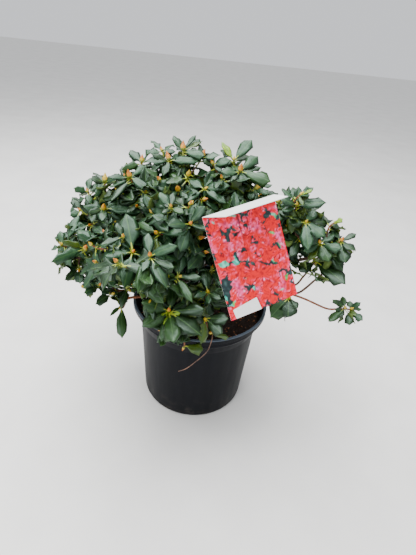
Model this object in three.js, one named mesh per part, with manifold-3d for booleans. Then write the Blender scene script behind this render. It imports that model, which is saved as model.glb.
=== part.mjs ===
// A bushy young rhododendron in a round nursery pot, with a picture label hung on one of its shoots.
// Millimetres, +Z up. The origin is the centre of the pot's flat underside and the front is -Y.

import * as THREE from 'three';
import { mergeVertices } from 'three/addons/utils/BufferGeometryUtils.js';
import Module from 'manifold-3d';

const wasm = await Module();
wasm.setup();

// Gaps: between neighbouring solids, from foliage to what it must not touch, and between masses
const seatGap = 0.35;
const tipGap = 0.3;
const leafClearance = 1.6;
const cellMargin = 0.5;
const leafOverhang = 8;
const weldDistance = 1e-4;
const sliverSize = 0.45;

// Pot: a thin-walled tapered tub with a rounded foot, a bead under the lip and a rolled lip
const potHeight = 255;
const rimRadius = 147.5;
const lipHeight = 10;
const collarRadius = 139;
const beadRadius = 141;
const beadHeight = 232;
const shoulderHeight = 206;
const shoulderRadius = 129.5;
const heelRadius = 118.5;
const footCorner = 11;
const potWall = 3;
const potSides = 36;
const drainHoles = 6;
const drainHoleRadius = 7;
const drainHoleCircle = 84;

// Compost fills the pot to a little under the rim
const soilTop = 228;

// Trunk: a short leaning stem from the compost to its fork
const trunkFoot = new THREE.Vector3(-4, 6, soilTop + tipGap);
const trunkFork = new THREE.Vector3(-14, 10, 286);
const trunkRadius = 13;
const trunkTopRadius = 9.5;
const rootFlare = 0.75;
const rootFlareRise = 0.16;

// Leaves are a little larger than life. They grow in bands of three round the swollen ends of the
// twigs, under a pointed bud. The crown's heart is the point that its outer twigs grow away from.
const leafLength = 66;
const leafSlimness = 0.46;
const leafBands = [{ pitch: 100, size: 1.08 }, { pitch: 78, size: 0.98 }, { pitch: 52, size: 0.8 }];
const bandRise = 5.5;
const bandRadii = [2.6, 4.3, 4, 2.8];
const budLength = 9;
const twigRadius = 2.7;
const forkRise = 6;
const hubSize = 1.3;
const touchVolume = 0.001;
const tipSpacing = 37;
const crownHeart = new THREE.Vector3(-10, 10, 320);
const goldenAngle = THREE.MathUtils.degToRad(137.5);

// Masses of foliage: centre, reach, the limb that carries each one, where on it, and the bough's
// radius at its foot and at its end. Via points bend a bough over the pot's rim, and lift is how far
// its shoots turn up.
const masses = [
  { name: 'crown_top', centre: [-60, 60, 486], reach: 84, from: 'trunk', at: 0.97, radii: [8.5, 4.5] },
  { name: 'left_front', centre: [-158, -85, 398], reach: 78, from: 'trunk', at: 0.62, radii: [8, 4.2] },
  { name: 'front', centre: [-85, -138, 395], reach: 72, from: 'trunk', at: 0.74, radii: [7, 4] },
  { name: 'right_upper', centre: [181, 25, 456], reach: 62, from: 'trunk', at: 0.68, radii: [7.5, 3.4] },
  { name: 'back_middle', centre: [-30, 188, 392], reach: 88, from: 'trunk', at: 0.82, radii: [7.5, 4.2] },
  { name: 'top_left', centre: [-146, 60, 455], reach: 80, from: 'crown_top', at: 0.22, radii: [6, 4] },
  { name: 'behind_label', centre: [62, 0, 425], reach: 80, from: 'crown_top', at: 0.12, radii: [6, 4] },
  { name: 'middle', centre: [-60, -52, 452], reach: 82, from: 'crown_top', at: 0.34, radii: [5.5, 3.8] },
  { name: 'top_right', centre: [44, 62, 488], reach: 78, from: 'crown_top', at: 0.5, radii: [5.5, 3.8] },
  { name: 'left_shoulder', centre: [-224, 50, 412], reach: 76, from: 'left_front', at: 0.3, radii: [5.5, 3.8] },
  { name: 'left_tip', centre: [-264, -14, 350], reach: 62, from: 'left_front', at: 0.6, radii: [4.6, 3.2] },
  { name: 'left_low', centre: [-214, -58, 288], reach: 60, from: 'left_front', at: 0.42, radii: [4.6, 3.2] },
  { name: 'left_hanging', centre: [-166, -74, 240], reach: 60, from: 'left_front', at: 0.1, radii: [3.6, 2.8],
    via: [[-104, -42, 276], [-150, -64, 276]], lift: -0.25 },
  { name: 'front_low', centre: [-48, -150, 300], reach: 62, from: 'front', at: 0.22, radii: [4.6, 3.2] },
  { name: 'low_middle', centre: [10, -96, 334], reach: 60, from: 'front', at: 0.1, radii: [4.6, 3.2] },
  { name: 'right_outer', centre: [250, 0, 403], reach: 64, from: 'right_upper', at: 0.42, radii: [5, 3.2] },
  { name: 'right_stray', centre: [300, -60, 306], reach: 36, from: 'right_upper', at: 0.26, radii: [3, 2],
    via: [[200, -58, 322], [262, -62, 303]], leaf: 36, tips: 1 },
  { name: 'low_right', centre: [168, -60, 296], reach: 44, from: 'right_upper', at: 0.14, radii: [3.4, 2.6],
    leaf: 50, tips: 3 },
  { name: 'back_left', centre: [-152, 150, 388], reach: 84, from: 'back_middle', at: 0.4, radii: [5.5, 3.8] },
  { name: 'back_right', centre: [92, 142, 392], reach: 82, from: 'back_middle', at: 0.3, radii: [5.5, 3.8] },
];

// A thin shoot that carries the label, and a bare drooping twig over the front of the rim
const labelShootRadii = [2.8, 1.9];
const droopRadii = [2.4, 1.3];
const droopRoute = [[22, -74, 262], [36, -150, 268], [32, -163, 250], [8, -170, 222], [-24, -172, 192]];

// Label: a card with its top folded forward into a tapered flap, and a tongue at the back that hooks
// over the shoot
const cardWidth = 140;
const cardLength = 189;
const cardThickness = 0.8;
const flapLength = 67;
const flapDrop = 4;
const flapTaper = 13.5;
const cardFold = new THREE.Vector3(51.6, -84, 512);
const cardTurn = THREE.MathUtils.degToRad(23.3);
const cardLean = THREE.MathUtils.degToRad(24.7);
const cardRoll = THREE.MathUtils.degToRad(13.1);
const tongueWidth = 14;
const tongueDrop = 34;
const stickerWidth = 48;
const stickerHeight = 23;
const stickerThickness = 0.5;

const colours = {
  pot: new THREE.MeshStandardMaterial({ color: 0x24272a, roughness: 0.45, metalness: 0 }),
  soil: new THREE.MeshStandardMaterial({ color: 0x2a1d15, roughness: 1, metalness: 0 }),
  bark: new THREE.MeshStandardMaterial({ color: 0x4a382b, roughness: 0.9, metalness: 0 }),
  shoot: new THREE.MeshStandardMaterial({ color: 0x9a5a34, roughness: 0.7, metalness: 0 }),
  foliage: new THREE.MeshStandardMaterial({ color: 0x3c5a40, roughness: 0.5, metalness: 0 }),
  card: new THREE.MeshStandardMaterial({ color: 0xe0403f, roughness: 0.35, metalness: 0 }),
  sticker: new THREE.MeshStandardMaterial({ color: 0xf2f2ee, roughness: 0.6, metalness: 0 }),
};

const plant = new THREE.Group();

// Turns a closed geometry into a solid that can be joined and cut
function solidOf(geometry) {
  const bare = geometry.clone();
  bare.deleteAttribute('normal');
  bare.deleteAttribute('uv');
  const welded = mergeVertices(bare, weldDistance);
  const mesh = new wasm.Mesh({
    numProp: 3,
    vertProperties: Float32Array.from(welded.attributes.position.array),
    triVerts: Uint32Array.from(welded.index.array),
  });
  return new wasm.Manifold(mesh);
}

function geometryOf(solid) {
  const mesh = solid.getMesh();
  const geometry = new THREE.BufferGeometry();
  geometry.setAttribute('position', new THREE.BufferAttribute(mesh.vertProperties, 3));
  geometry.setIndex(new THREE.BufferAttribute(mesh.triVerts, 1));
  geometry.computeVertexNormals();
  return geometry;
}

// The largest connected body of a solid: loose scraps are dropped and sealed hollows are filled
function mainBody(solid) {
  return solid.decompose().reduce((largest, body) => (body.volume() > largest.volume() ? body : largest));
}

// Names a solid, and places it with its own origin at the given point
function place(name, solid, material, origin = new THREE.Vector3()) {
  const geometry = geometryOf(solid).translate(-origin.x, -origin.y, -origin.z);
  const mesh = new THREE.Mesh(geometry, material);
  mesh.name = name;
  mesh.position.copy(origin);
  plant.add(mesh);
  return mesh;
}

// A small repeatable random number source
function randomSource(seed) {
  let state = seed >>> 0;
  return () => {
    state = (state + 0x6d2b79f5) >>> 0;
    let mixed = state;
    mixed = Math.imul(mixed ^ (mixed >>> 15), mixed | 1);
    mixed ^= mixed + Math.imul(mixed ^ (mixed >>> 7), mixed | 61);
    return ((mixed ^ (mixed >>> 14)) >>> 0) / 4294967296;
  };
}

// A solid turned round the pot's axis from pairs of radius and height
function turned(outline) {
  const points = outline.map(([radius, height]) => new THREE.Vector2(radius, height));
  return solidOf(new THREE.LatheGeometry(points, potSides).rotateX(Math.PI / 2));
}

// A quarter round between two perpendicular stretches, as pairs of radius and height
function roundedCorner(centreRadius, centreHeight, size, steps = 3) {
  const corner = [];
  for (let step = 0; step <= steps; step += 1) {
    const angle = (step / steps - 1) * (Math.PI / 2);
    corner.push([centreRadius + size * Math.cos(angle), centreHeight + size * Math.sin(angle)]);
  }
  return corner;
}

// The outside of the pot from the axis under its base to the top of its lip, moved out by an offset
function potOutside(offset) {
  return [
    [0, -offset],
    ...roundedCorner(heelRadius - footCorner, footCorner, footCorner + offset),
    [shoulderRadius + offset, shoulderHeight],
    [collarRadius - 4 + offset, beadHeight - 8],
    [beadRadius + offset, beadHeight],
    [collarRadius + offset, potHeight - lipHeight - 3],
    [rimRadius + offset, potHeight - lipHeight],
    [rimRadius + offset, potHeight - 2],
    [rimRadius - 2, potHeight + offset],
  ];
}

// The inside of the pot from its lip down to the axis on its floor, moved out by an offset
function potInside(offset) {
  return [
    [rimRadius - potWall - 2, potHeight - Math.min(offset, 0)],
    [rimRadius - potWall - 5 + offset, potHeight - 6],
    [collarRadius - potWall + offset, potHeight - lipHeight - 4],
    [shoulderRadius - potWall + offset, shoulderHeight],
    [heelRadius - potWall + offset, footCorner + potWall],
    [heelRadius - potWall - footCorner * 0.7 + offset, potWall - offset],
    [0, potWall - offset],
  ];
}

function makePot() {
  let pot = turned([...potOutside(0), ...potInside(0)]);
  for (let hole = 0; hole < drainHoles; hole += 1) {
    const angle = ((hole + 0.5) / drainHoles) * Math.PI * 2;
    const drill = new THREE.CylinderGeometry(drainHoleRadius, drainHoleRadius, potWall * 3, 10);
    drill.rotateX(Math.PI / 2).translate(drainHoleCircle * Math.cos(angle), drainHoleCircle * Math.sin(angle), 0);
    pot = pot.subtract(solidOf(drill));
  }
  place('pot', pot, colours.pot);
}

function makeSoil() {
  const inside = potInside(-seatGap);
  const fill = inside.slice(3).reverse();
  const upperWall = THREE.MathUtils.mapLinear(
    soilTop, shoulderHeight, potHeight - lipHeight - 4, inside[3][0], inside[2][0]);
  place('compost', turned([...fill, [upperWall, soilTop - 1], [upperWall - 6, soilTop], [0, soilTop]]), colours.soil);
}

// A tapering limb: a cylinder bent along a curve. Grown outwards, it is the space kept clear for it.
function limbSolid(limb, grown = 0) {
  const { curve, radiusAt, sides, steps } = limb;
  const geometry = new THREE.CylinderGeometry(1, 1, 1, sides, steps);
  const frames = curve.computeFrenetFrames(steps);
  const position = geometry.attributes.position;
  const point = new THREE.Vector3();
  for (let vertex = 0; vertex < position.count; vertex += 1) {
    const ring = Math.round((position.getY(vertex) + 0.5) * steps);
    const along = ring / steps;
    const across = [position.getX(vertex), -position.getZ(vertex)];
    const radius = radiusAt(along, Math.atan2(across[1], across[0])) + grown;
    const overrun = grown * ((ring === steps) - (ring === 0));
    curve.getPointAt(along, point);
    point.addScaledVector(frames.normals[ring], across[0] * radius);
    point.addScaledVector(frames.binormals[ring], across[1] * radius);
    point.addScaledVector(frames.tangents[ring], overrun);
    position.setXYZ(vertex, point.x, point.y, point.z);
  }
  return solidOf(geometry);
}

// The signed distance from a point to the border between two masses, on the first one's side.
// Each mass keeps to the cell of space that these borders leave round it.
function borderDistance(point, mass, other) {
  const own = point.distanceToSquared(mass.middle) - mass.reach ** 2;
  const theirs = point.distanceToSquared(other.middle) - other.reach ** 2;
  return (theirs - own) / (2 * mass.middle.distanceTo(other.middle));
}

function roomAt(point, mass, overhang = 0) {
  const borders = masses.filter((other) => other !== mass).map((other) => borderDistance(point, mass, other));
  return Math.min(mass.reach + overhang - point.distanceTo(mass.middle), ...borders);
}

// Limbs, from the trunk outwards. Each one starts inside its parent and is cut clear of it.
const limbs = new Map();
const bulk = [];

function addLimb(name, limb, origin) {
  const fullLimb = { sides: 6, steps: 6, ...limb };
  let solid = limbSolid(fullLimb);
  for (const earlier of limbs.values()) {
    solid = mainBody(solid.subtract(limbSolid(earlier, seatGap)));
  }
  limbs.set(name, fullLimb);
  bulk.push(limbSolid(fullLimb, leafClearance));
  place(name, solid, fullLimb.material ?? colours.bark, origin);
}

function makeTrunk() {
  const height = trunkFork.z - trunkFoot.z;
  const curve = new THREE.CubicBezierCurve3(
    trunkFoot,
    trunkFoot.clone().add(new THREE.Vector3(0, 0, height * 0.4)),
    trunkFork.clone().add(new THREE.Vector3(2, -1, -height * 0.35)),
    trunkFork,
  );
  const radiusAt = (along, angle) => {
    const flare = rootFlare * Math.exp(-along / rootFlareRise) * (1 + 0.25 * Math.cos(3 * angle));
    return THREE.MathUtils.lerp(trunkRadius, trunkTopRadius, along) * (1 + flare);
  };
  addLimb('trunk', { curve, radiusAt, sides: 12, steps: 7 }, trunkFoot);
}

// The route of a bough: out of its parent, and up into the near side of its mass
function boughCurve(mass) {
  const parent = limbs.get(mass.from === 'trunk' ? 'trunk' : `bough_${mass.from}`).curve;
  const foot = parent.getPointAt(mass.at);
  const via = (mass.via ?? []).map((spot) => new THREE.Vector3(...spot));
  const inwards = [foot, ...via].at(-1).clone().sub(mass.middle);
  inwards.z -= via.length > 0 ? 0 : inwards.length() * 0.3;
  inwards.normalize();
  let depth = 4;
  while (depth < mass.reach * 0.58 && roomAt(mass.middle.clone().addScaledVector(inwards, depth), mass) > 6) {
    depth += 2;
  }
  const end = mass.middle.clone().addScaledVector(inwards, depth);
  if (via.length > 0) {
    return new THREE.CatmullRomCurve3([foot, ...via, end]);
  }
  const span = foot.distanceTo(end);
  const leaving = parent.getTangentAt(mass.at).lerp(end.clone().sub(foot).normalize(), 0.6).normalize();
  return new THREE.CubicBezierCurve3(
    foot,
    foot.clone().addScaledVector(leaving, span * 0.35),
    end.clone().addScaledVector(inwards, span * 0.3),
    end,
  );
}

function makeBough(mass) {
  const curve = boughCurve(mass);
  const [footRadius, endRadius] = mass.radii;
  const radiusAt = (along) => THREE.MathUtils.lerp(footRadius, endRadius, along ** 0.8);
  addLimb(`bough_${mass.name}`, { curve, radiusAt }, curve.getPointAt(1));
}

function cardMatrix() {
  return new THREE.Matrix4()
    .makeTranslation(cardFold.x, cardFold.y, cardFold.z)
    .multiply(new THREE.Matrix4().makeRotationZ(cardTurn))
    .multiply(new THREE.Matrix4().makeRotationX(Math.PI / 2 - cardLean))
    .multiply(new THREE.Matrix4().makeRotationZ(cardRoll));
}

// The shoot that runs behind the card, under its tongue
const shootDepth = -(cardThickness / 2 + labelShootRadii[0] + seatGap);

function makeLabelShoot() {
  const onCard = (x, depth = 0, drop = 0) => new THREE.Vector3(x, -tongueDrop - drop, shootDepth - depth)
    .applyMatrix4(cardMatrix());
  const foot = limbs.get('bough_behind_label').curve.getPointAt(0.7);
  const route = [foot, onCard(-44, 28, 26), onCard(-26, 5, 3), onCard(-9), onCard(9), onCard(28, 4)];
  const curve = new THREE.CatmullRomCurve3(route, false, 'centripetal');
  const radiusAt = (along) => THREE.MathUtils.lerp(...labelShootRadii, along);
  addLimb('label_shoot', { curve, radiusAt, sides: 6, steps: 14, material: colours.shoot }, foot);
}

function makeDroopingTwig() {
  const foot = limbs.get('bough_front').curve.getPointAt(0.05);
  const curve = new THREE.CatmullRomCurve3([foot, ...droopRoute.map((spot) => new THREE.Vector3(...spot))]);
  const radiusAt = (along) => THREE.MathUtils.lerp(...droopRadii, along);
  addLimb('drooping_twig', { curve, radiusAt, sides: 6, steps: 14, material: colours.shoot }, foot);
}

// A strip of card of even thickness along a bent line, with the given width, centred on the card's middle
function bentStrip(line, width) {
  const half = cardThickness / 2;
  const points = line.map(([depth, height]) => new THREE.Vector2(depth, height));
  const sides = [1, -1].map((side) => points.map((point, index) => {
    const before = points[Math.max(index - 1, 0)];
    const after = points[Math.min(index + 1, points.length - 1)];
    const incoming = point.clone().sub(before);
    const outgoing = after.clone().sub(point);
    const first = (index === 0 ? outgoing : incoming).clone().normalize();
    const last = (index === points.length - 1 ? incoming : outgoing).clone().normalize();
    const normal = new THREE.Vector2(-first.y - last.y, first.x + last.x).normalize();
    const stretch = half / Math.abs(normal.dot(new THREE.Vector2(-first.y, first.x)));
    return point.clone().addScaledVector(normal, side * stretch);
  }));
  const shape = new THREE.Shape([...sides[0], ...sides[1].reverse()]);
  const strip = new THREE.ExtrudeGeometry(shape, { depth: width, bevelEnabled: false });
  return solidOf(strip.translate(0, 0, -width / 2).rotateY(-Math.PI / 2));
}

function makeLabel() {
  const half = cardThickness / 2;
  const hookRadius = labelShootRadii[0] + seatGap + half;
  const hook = [[0, -tongueDrop + hookRadius + 8]];
  for (let step = 0; step <= 5; step += 1) {
    const angle = (step / 5) * Math.PI;
    hook.push([shootDepth + hookRadius * Math.cos(angle), -tongueDrop + hookRadius * Math.sin(angle)]);
  }
  hook.push([shootDepth - hookRadius, -tongueDrop - 12]);
  let card = bentStrip([[0, -cardLength], [0, 0], [flapLength, -flapDrop]], cardWidth);
  for (const side of [-1, 1]) {
    const corner = new THREE.Shape([
      new THREE.Vector2((side * cardWidth) / 2, 4),
      new THREE.Vector2((side * (cardWidth + 8)) / 2, 4),
      new THREE.Vector2((side * (cardWidth + 8)) / 2, flapLength + 4),
      new THREE.Vector2(side * (cardWidth / 2 - flapTaper), flapLength + 4),
    ]);
    const trim = new THREE.ExtrudeGeometry(corner, { depth: flapDrop * 4, bevelEnabled: false });
    card = card.subtract(solidOf(trim.translate(0, 0, -flapDrop * 2).rotateX(Math.PI / 2)));
  }
  const tongue = bentStrip(hook, tongueWidth);
  const label = place('label_card', mainBody(card.add(tongue)), colours.card);
  label.applyMatrix4(cardMatrix());

  const sticker = new THREE.BoxGeometry(stickerWidth, stickerHeight, stickerThickness);
  sticker.translate(-cardWidth / 2 + 9 + stickerWidth / 2, -cardLength + 3 + stickerHeight / 2, 0);
  sticker.translate(0, 0, half + tipGap + stickerThickness / 2);
  place('label_sticker', solidOf(sticker), colours.sticker).applyMatrix4(cardMatrix());
}

// Space that foliage keeps out of: the limbs, the pot and its compost, and the label's face
function spaceTaken() {
  const potZone = turned([...potOutside(leafClearance), ...potInside(-leafClearance)]);
  const soilZone = new THREE.CylinderGeometry(rimRadius - 6, rimRadius - 30, soilTop - 20, potSides);
  soilZone.rotateX(Math.PI / 2).translate(0, 0, soilTop / 2 + 10 + leafClearance);
  const view = flapLength + 12;
  const cardZone = new THREE.BoxGeometry(cardWidth + 8, cardLength + 16, view);
  cardZone.translate(0, 4 - cardLength / 2, view / 2 - 8).applyMatrix4(cardMatrix());
  return wasm.Manifold.union([potZone, solidOf(soilZone), solidOf(cardZone), ...bulk]);
}

function solidFrom(corners, faces) {
  const geometry = new THREE.BufferGeometry().setFromPoints(corners);
  geometry.setIndex(faces.flat());
  return solidOf(geometry);
}

// A mass of foliage is grown as one mesh. Each twig and leaf takes the place of one face of what
// carries it, so its foot is fused all round.
class Growth {
  constructor() {
    this.corners = [];
    this.faces = [];
    this.pieces = [];
  }

  centreOf(face) {
    return face.reduce((sum, corner) => sum.add(this.corners[corner]), new THREE.Vector3()).divideScalar(face.length);
  }

  normalOf(face) {
    const [first, second, third] = face.map((corner) => this.corners[corner]);
    return second.clone().sub(first).cross(third.clone().sub(first)).normalize();
  }

  // The free face that looks most towards a point, if any looks towards it at all
  faceTowards(target, faces) {
    const score = (face) => target.clone().sub(this.centreOf(face)).normalize().dot(this.normalOf(face));
    const best = faces.filter((face) => this.faces.includes(face)).sort((a, b) => score(b) - score(a))[0];
    return best && score(best) > 0.35 ? best : null;
  }

  // Three corners round a point, in line with those of the face or ring before them
  addRing(centre, heading, size, before, turn = 0) {
    const reference = this.corners[before[0]].clone().sub(this.centreOf(before));
    reference.projectOnPlane(heading).normalize().applyAxisAngle(heading, turn);
    const first = this.corners.length;
    for (let corner = 0; corner < 3; corner += 1) {
      const out = reference.clone().applyAxisAngle(heading, (corner / 3) * Math.PI * 2);
      this.corners.push(centre.clone().addScaledVector(out, size));
    }
    return [first, first + 1, first + 2];
  }

  // Puts new faces on a foot, if the piece that they close has room there
  graft(foot, faces, hasSpace) {
    const solid = solidFrom(this.corners, [[foot[0], foot[2], foot[1]], ...faces]);
    if (!hasSpace(solid)) {
      return false;
    }
    this.faces.splice(this.faces.indexOf(foot), 1);
    this.faces.push(...faces);
    this.pieces.push({ solid });
    return true;
  }
}

const next = (corner) => (corner + 1) % 3;

function straightBand(lower, upper) {
  return [0, 1, 2].flatMap((corner) => [
    [lower[corner], lower[next(corner)], upper[next(corner)]],
    [lower[corner], upper[next(corner)], upper[corner]],
  ]);
}

// A band whose upper ring is turned half a step: its even faces stand on the lower ring
function turnedBand(lower, upper) {
  return [0, 1, 2].flatMap((corner) => [
    [lower[corner], lower[next(corner)], upper[corner]],
    [lower[next(corner)], upper[next(corner)], upper[corner]],
  ]);
}

// The start of a mass: a small hub, with a stem that carries on from the bough
function startGrowth(foot, hub, stemRadius, random) {
  const growth = new Growth();
  const down = foot.clone().sub(hub).normalize();
  const ball = new THREE.IcosahedronGeometry(stemRadius * hubSize, 0);
  ball.deleteAttribute('normal');
  ball.deleteAttribute('uv');
  const { attributes: { position }, index } = mergeVertices(ball, weldDistance);
  for (let corner = 0; corner < position.count; corner += 1) {
    growth.corners.push(new THREE.Vector3().fromBufferAttribute(position, corner));
  }
  for (let corner = 0; corner < index.count; corner += 3) {
    growth.faces.push([index.getX(corner), index.getX(corner + 1), index.getX(corner + 2)]);
  }
  const turn = new THREE.Quaternion().setFromUnitVectors(growth.normalOf(growth.faces[0]), down)
    .premultiply(new THREE.Quaternion().setFromAxisAngle(down, random() * Math.PI * 2));
  growth.corners.forEach((corner) => corner.applyQuaternion(turn).add(hub));
  growth.pieces.push({ solid: solidFrom(growth.corners, growth.faces) });
  const base = growth.faces[0];
  const ring = growth.addRing(foot, down, stemRadius, base);
  growth.graft(base, [...straightBand(base, ring), ring], () => true);
  return growth;
}

// Grows a shoot from a face, by way of a fork if it has one, up to a swollen end with bands of feet
// for leaves and a pointed bud. Its rings follow the shoot's bends.
function growShoot(growth, foot, { fork, knee, heading, radius }, hasSpace) {
  const kept = growth.corners.length;
  const start = growth.centreOf(foot);
  const faces = [];
  const sideFeet = [];
  let ring = foot;
  let from = start;
  if (fork) {
    const incoming = fork.clone().sub(start).normalize();
    const outgoing = knee.clone().sub(fork).normalize();
    const lower = growth.addRing(fork, incoming.clone().add(outgoing).normalize(), radius, ring);
    const upper = growth.addRing(fork.clone().addScaledVector(outgoing, forkRise), outgoing, radius, lower, Math.PI / 3);
    sideFeet.push(...turnedBand(lower, upper));
    faces.push(...straightBand(ring, lower), ...sideFeet);
    ring = upper;
    from = fork;
  }
  const arriving = knee.clone().sub(from).normalize().add(heading).normalize();
  const first = growth.addRing(knee, arriving, bandRadii[0], ring);
  faces.push(...straightBand(ring, first));
  ring = first;
  const leafFeet = leafBands.map((band, index) => {
    const centre = knee.clone().addScaledVector(heading, bandRise * (index + 1));
    const above = growth.addRing(centre, heading, bandRadii[index + 1], ring, Math.PI / 3);
    const turned = turnedBand(ring, above);
    faces.push(...turned);
    ring = above;
    return turned.filter((face, place) => place % 2 === 0);
  });
  const tip = growth.corners.push(knee.clone().addScaledVector(heading, bandRise * leafBands.length + budLength)) - 1;
  faces.push(...[0, 1, 2].map((corner) => [ring[corner], ring[next(corner)], tip]));
  if (growth.graft(foot, faces, hasSpace)) {
    return { sideFeet, leafFeet, heading, knee };
  }
  growth.corners.length = kept;
  return null;
}

// One leaf, from three corners of its foot: an arched blade with a low ridge along it, its edges and
// its tip lowered
function leafBlade(foot, along, upper, length) {
  const root = foot.reduce((sum, corner) => sum.add(corner), new THREE.Vector3()).divideScalar(3);
  const side = new THREE.Vector3().crossVectors(upper, along);
  const at = (forward, sideways, height) => root.clone()
    .addScaledVector(along, forward * length)
    .addScaledVector(side, sideways * length * leafSlimness)
    .addScaledVector(upper, height * length);
  return [at(0.5, -0.5, -0.06), at(0.5, 0.5, -0.06), at(0.44, 0, -0.016), at(1, 0, -0.11)];
}

// The faces of a leaf between the corners of its foot and those of its blade
function leafFaces([left, right, top], [bladeLeft, bladeRight, ridge, tip]) {
  return [
    [left, right, bladeRight], [left, bladeRight, bladeLeft],
    [right, top, ridge], [right, ridge, bladeRight],
    [top, left, bladeLeft], [top, bladeLeft, ridge],
    [bladeLeft, bladeRight, tip], [bladeRight, ridge, tip], [ridge, bladeLeft, tip],
  ];
}

// Whether a solid stays in its mass's cell and clear of everything that foliage keeps out of
function hasRoom(solid, mass, taken) {
  const mesh = solid.getMesh();
  const point = new THREE.Vector3();
  for (let vertex = 0; vertex < mesh.numVert; vertex += 1) {
    point.fromArray(mesh.vertProperties, vertex * 3);
    if (roomAt(point, mass, leafOverhang) < cellMargin) {
      return false;
    }
  }
  return solid.intersect(taken).isEmpty();
}

// The places where twigs end: spread evenly over the part of the mass that faces open air
function twigTips(mass, stemFoot, random) {
  const leafSize = mass.leaf ?? leafLength;
  const lift = mass.lift ?? 0.5;
  const shell = Math.max(mass.reach - leafSize * 0.52, mass.reach * 0.3);
  const wanted = mass.tips ?? Math.max(5, Math.round((4 * Math.PI * shell ** 2) / tipSpacing ** 2));
  const backwards = stemFoot.clone().sub(mass.middle).normalize();
  const turn = random() * Math.PI * 2;
  const tips = [];
  for (let index = 0; index < wanted; index += 1) {
    const height = 1 - (2 * (index + 0.5)) / wanted;
    const angle = turn + index * goldenAngle;
    const ring = Math.sqrt(1 - height ** 2);
    const outwards = new THREE.Vector3(ring * Math.cos(angle), ring * Math.sin(angle), height);
    const tip = mass.middle.clone().addScaledVector(outwards, shell * (0.92 + 0.16 * random()));
    const facing = tip.clone().sub(crownHeart).normalize().dot(outwards);
    if (roomAt(tip, mass) > 12 && outwards.dot(backwards) < 0.8 && facing > mass.facing) {
      tips.push({ tip, heading: outwards.multiplyScalar(0.65).add(new THREE.Vector3(0, 0, lift)).normalize() });
    }
  }
  return tips;
}

// A leaf that has no room is turned, lifted or made smaller before it is given up
const leafTries = [
  { twist: 0, lift: 0, shrink: 1 },
  { twist: 0.2, lift: 8, shrink: 0.95 },
  { twist: -0.2, lift: -10, shrink: 0.92 },
  { twist: 0, lift: 20, shrink: 0.86 },
  { twist: 0.35, lift: 4, shrink: 0.84 },
  { twist: -0.35, lift: 10, shrink: 0.78 },
  { twist: 0, lift: 30, shrink: 0.7 },
  { twist: 0.5, lift: -16, shrink: 0.68 },
  { twist: -0.5, lift: 24, shrink: 0.64 },
];

// Whether a solid runs through any of the pieces that a mass already has
function crosses(solid, pieces) {
  const box = solid.boundingBox();
  return pieces.some((piece) => {
    const near = piece.solid.boundingBox();
    const apart = [0, 1, 2].some((axis) => box.min[axis] > near.max[axis] || box.max[axis] < near.min[axis]);
    return !apart && solid.intersect(piece.solid).volume() > touchVolume;
  });
}

// Bands of leaves round the end of a shoot, the lower ones spreading wide and the upper ones raised
function growLeaves(growth, shoot, mass, hasSpace, random) {
  shoot.leafFeet.forEach((feet, band) => feet.forEach((foot) => {
    const wanted = leafBands[band].pitch + (random() - 0.5) * 12;
    const length = (mass.leaf ?? leafLength) * leafBands[band].size * (0.92 + 0.16 * random());
    const outwards = growth.corners[foot[0]].clone().add(growth.corners[foot[1]]).multiplyScalar(0.5)
      .sub(shoot.knee).projectOnPlane(shoot.heading).normalize();
    for (const { twist, lift, shrink } of leafTries) {
      const raised = THREE.MathUtils.degToRad(wanted - lift);
      const sideways = outwards.clone().applyAxisAngle(shoot.heading, twist);
      const along = shoot.heading.clone().multiplyScalar(Math.cos(raised)).addScaledVector(sideways, Math.sin(raised));
      const upper = shoot.heading.clone().multiplyScalar(Math.sin(raised)).addScaledVector(sideways, -Math.cos(raised));
      const kept = growth.corners.length;
      growth.corners.push(...leafBlade(foot.map((corner) => growth.corners[corner]), along, upper, length * shrink));
      if (growth.graft(foot, leafFaces(foot, [kept, kept + 1, kept + 2, kept + 3]), hasSpace)) {
        growth.pieces.at(-1).isLeaf = true;
        return;
      }
      growth.corners.length = kept;
    }
  }));
}

// Twig ends are gathered in groups of up to three round a shared fork
function gatherTips(tips) {
  const waiting = [...tips];
  const groups = [];
  while (waiting.length > 0) {
    const first = waiting.shift();
    waiting.sort((a, b) => a.tip.distanceTo(first.tip) - b.tip.distanceTo(first.tip));
    groups.push([first, ...waiting.splice(0, 2)]);
  }
  return groups;
}

// A mass of foliage: a stem and hub, forking twigs with pointed buds, and their leaves
function makeFoliage(mass, index, taken) {
  const random = randomSource(7919 * (index + 1));
  const bough = limbs.get(`bough_${mass.name}`).curve;
  const heading = bough.getTangentAt(1);
  const foot = bough.getPointAt(1).addScaledVector(heading, tipGap);
  const stemRadius = mass.radii[1] * 0.92;
  const hub = foot.clone().addScaledVector(heading, Math.max(foot.distanceTo(mass.middle) * 0.5, 9));
  const growth = startGrowth(foot, hub, stemRadius, random);
  const hubFaces = [...growth.faces];
  const shoots = [];
  const hasSpace = (solid) => hasRoom(solid, mass, taken) && !crosses(solid, growth.pieces);
  const grow = (feet, target, options) => {
    const face = growth.faceTowards(target, feet);
    const shoot = face && growShoot(growth, face, options, hasSpace);
    if (shoot) {
      shoots.push(shoot);
    }
    return shoot;
  };
  for (const group of gatherTips(twigTips(mass, foot, random))) {
    const middle = group.reduce((sum, end) => sum.add(end.tip), new THREE.Vector3()).divideScalar(group.length);
    const fork = group.length > 1 ? hub.clone().lerp(middle, 0.45) : null;
    let leader = null;
    for (const end of group) {
      const knee = end.tip.clone().addScaledVector(end.heading, -bandRise * leafBands.length);
      if (leader) {
        grow(leader.sideFeet, knee, { knee, heading: end.heading });
      } else {
        leader = grow(hubFaces, fork ?? knee, { fork, knee, heading: end.heading, radius: twigRadius });
      }
    }
  }
  shoots.forEach((shoot) => growLeaves(growth, shoot, mass, hasSpace, random));
  const solid = solidFrom(growth.corners, growth.faces);
  place(`foliage_${mass.name}`, solid, colours.foliage, foot);
}

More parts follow.
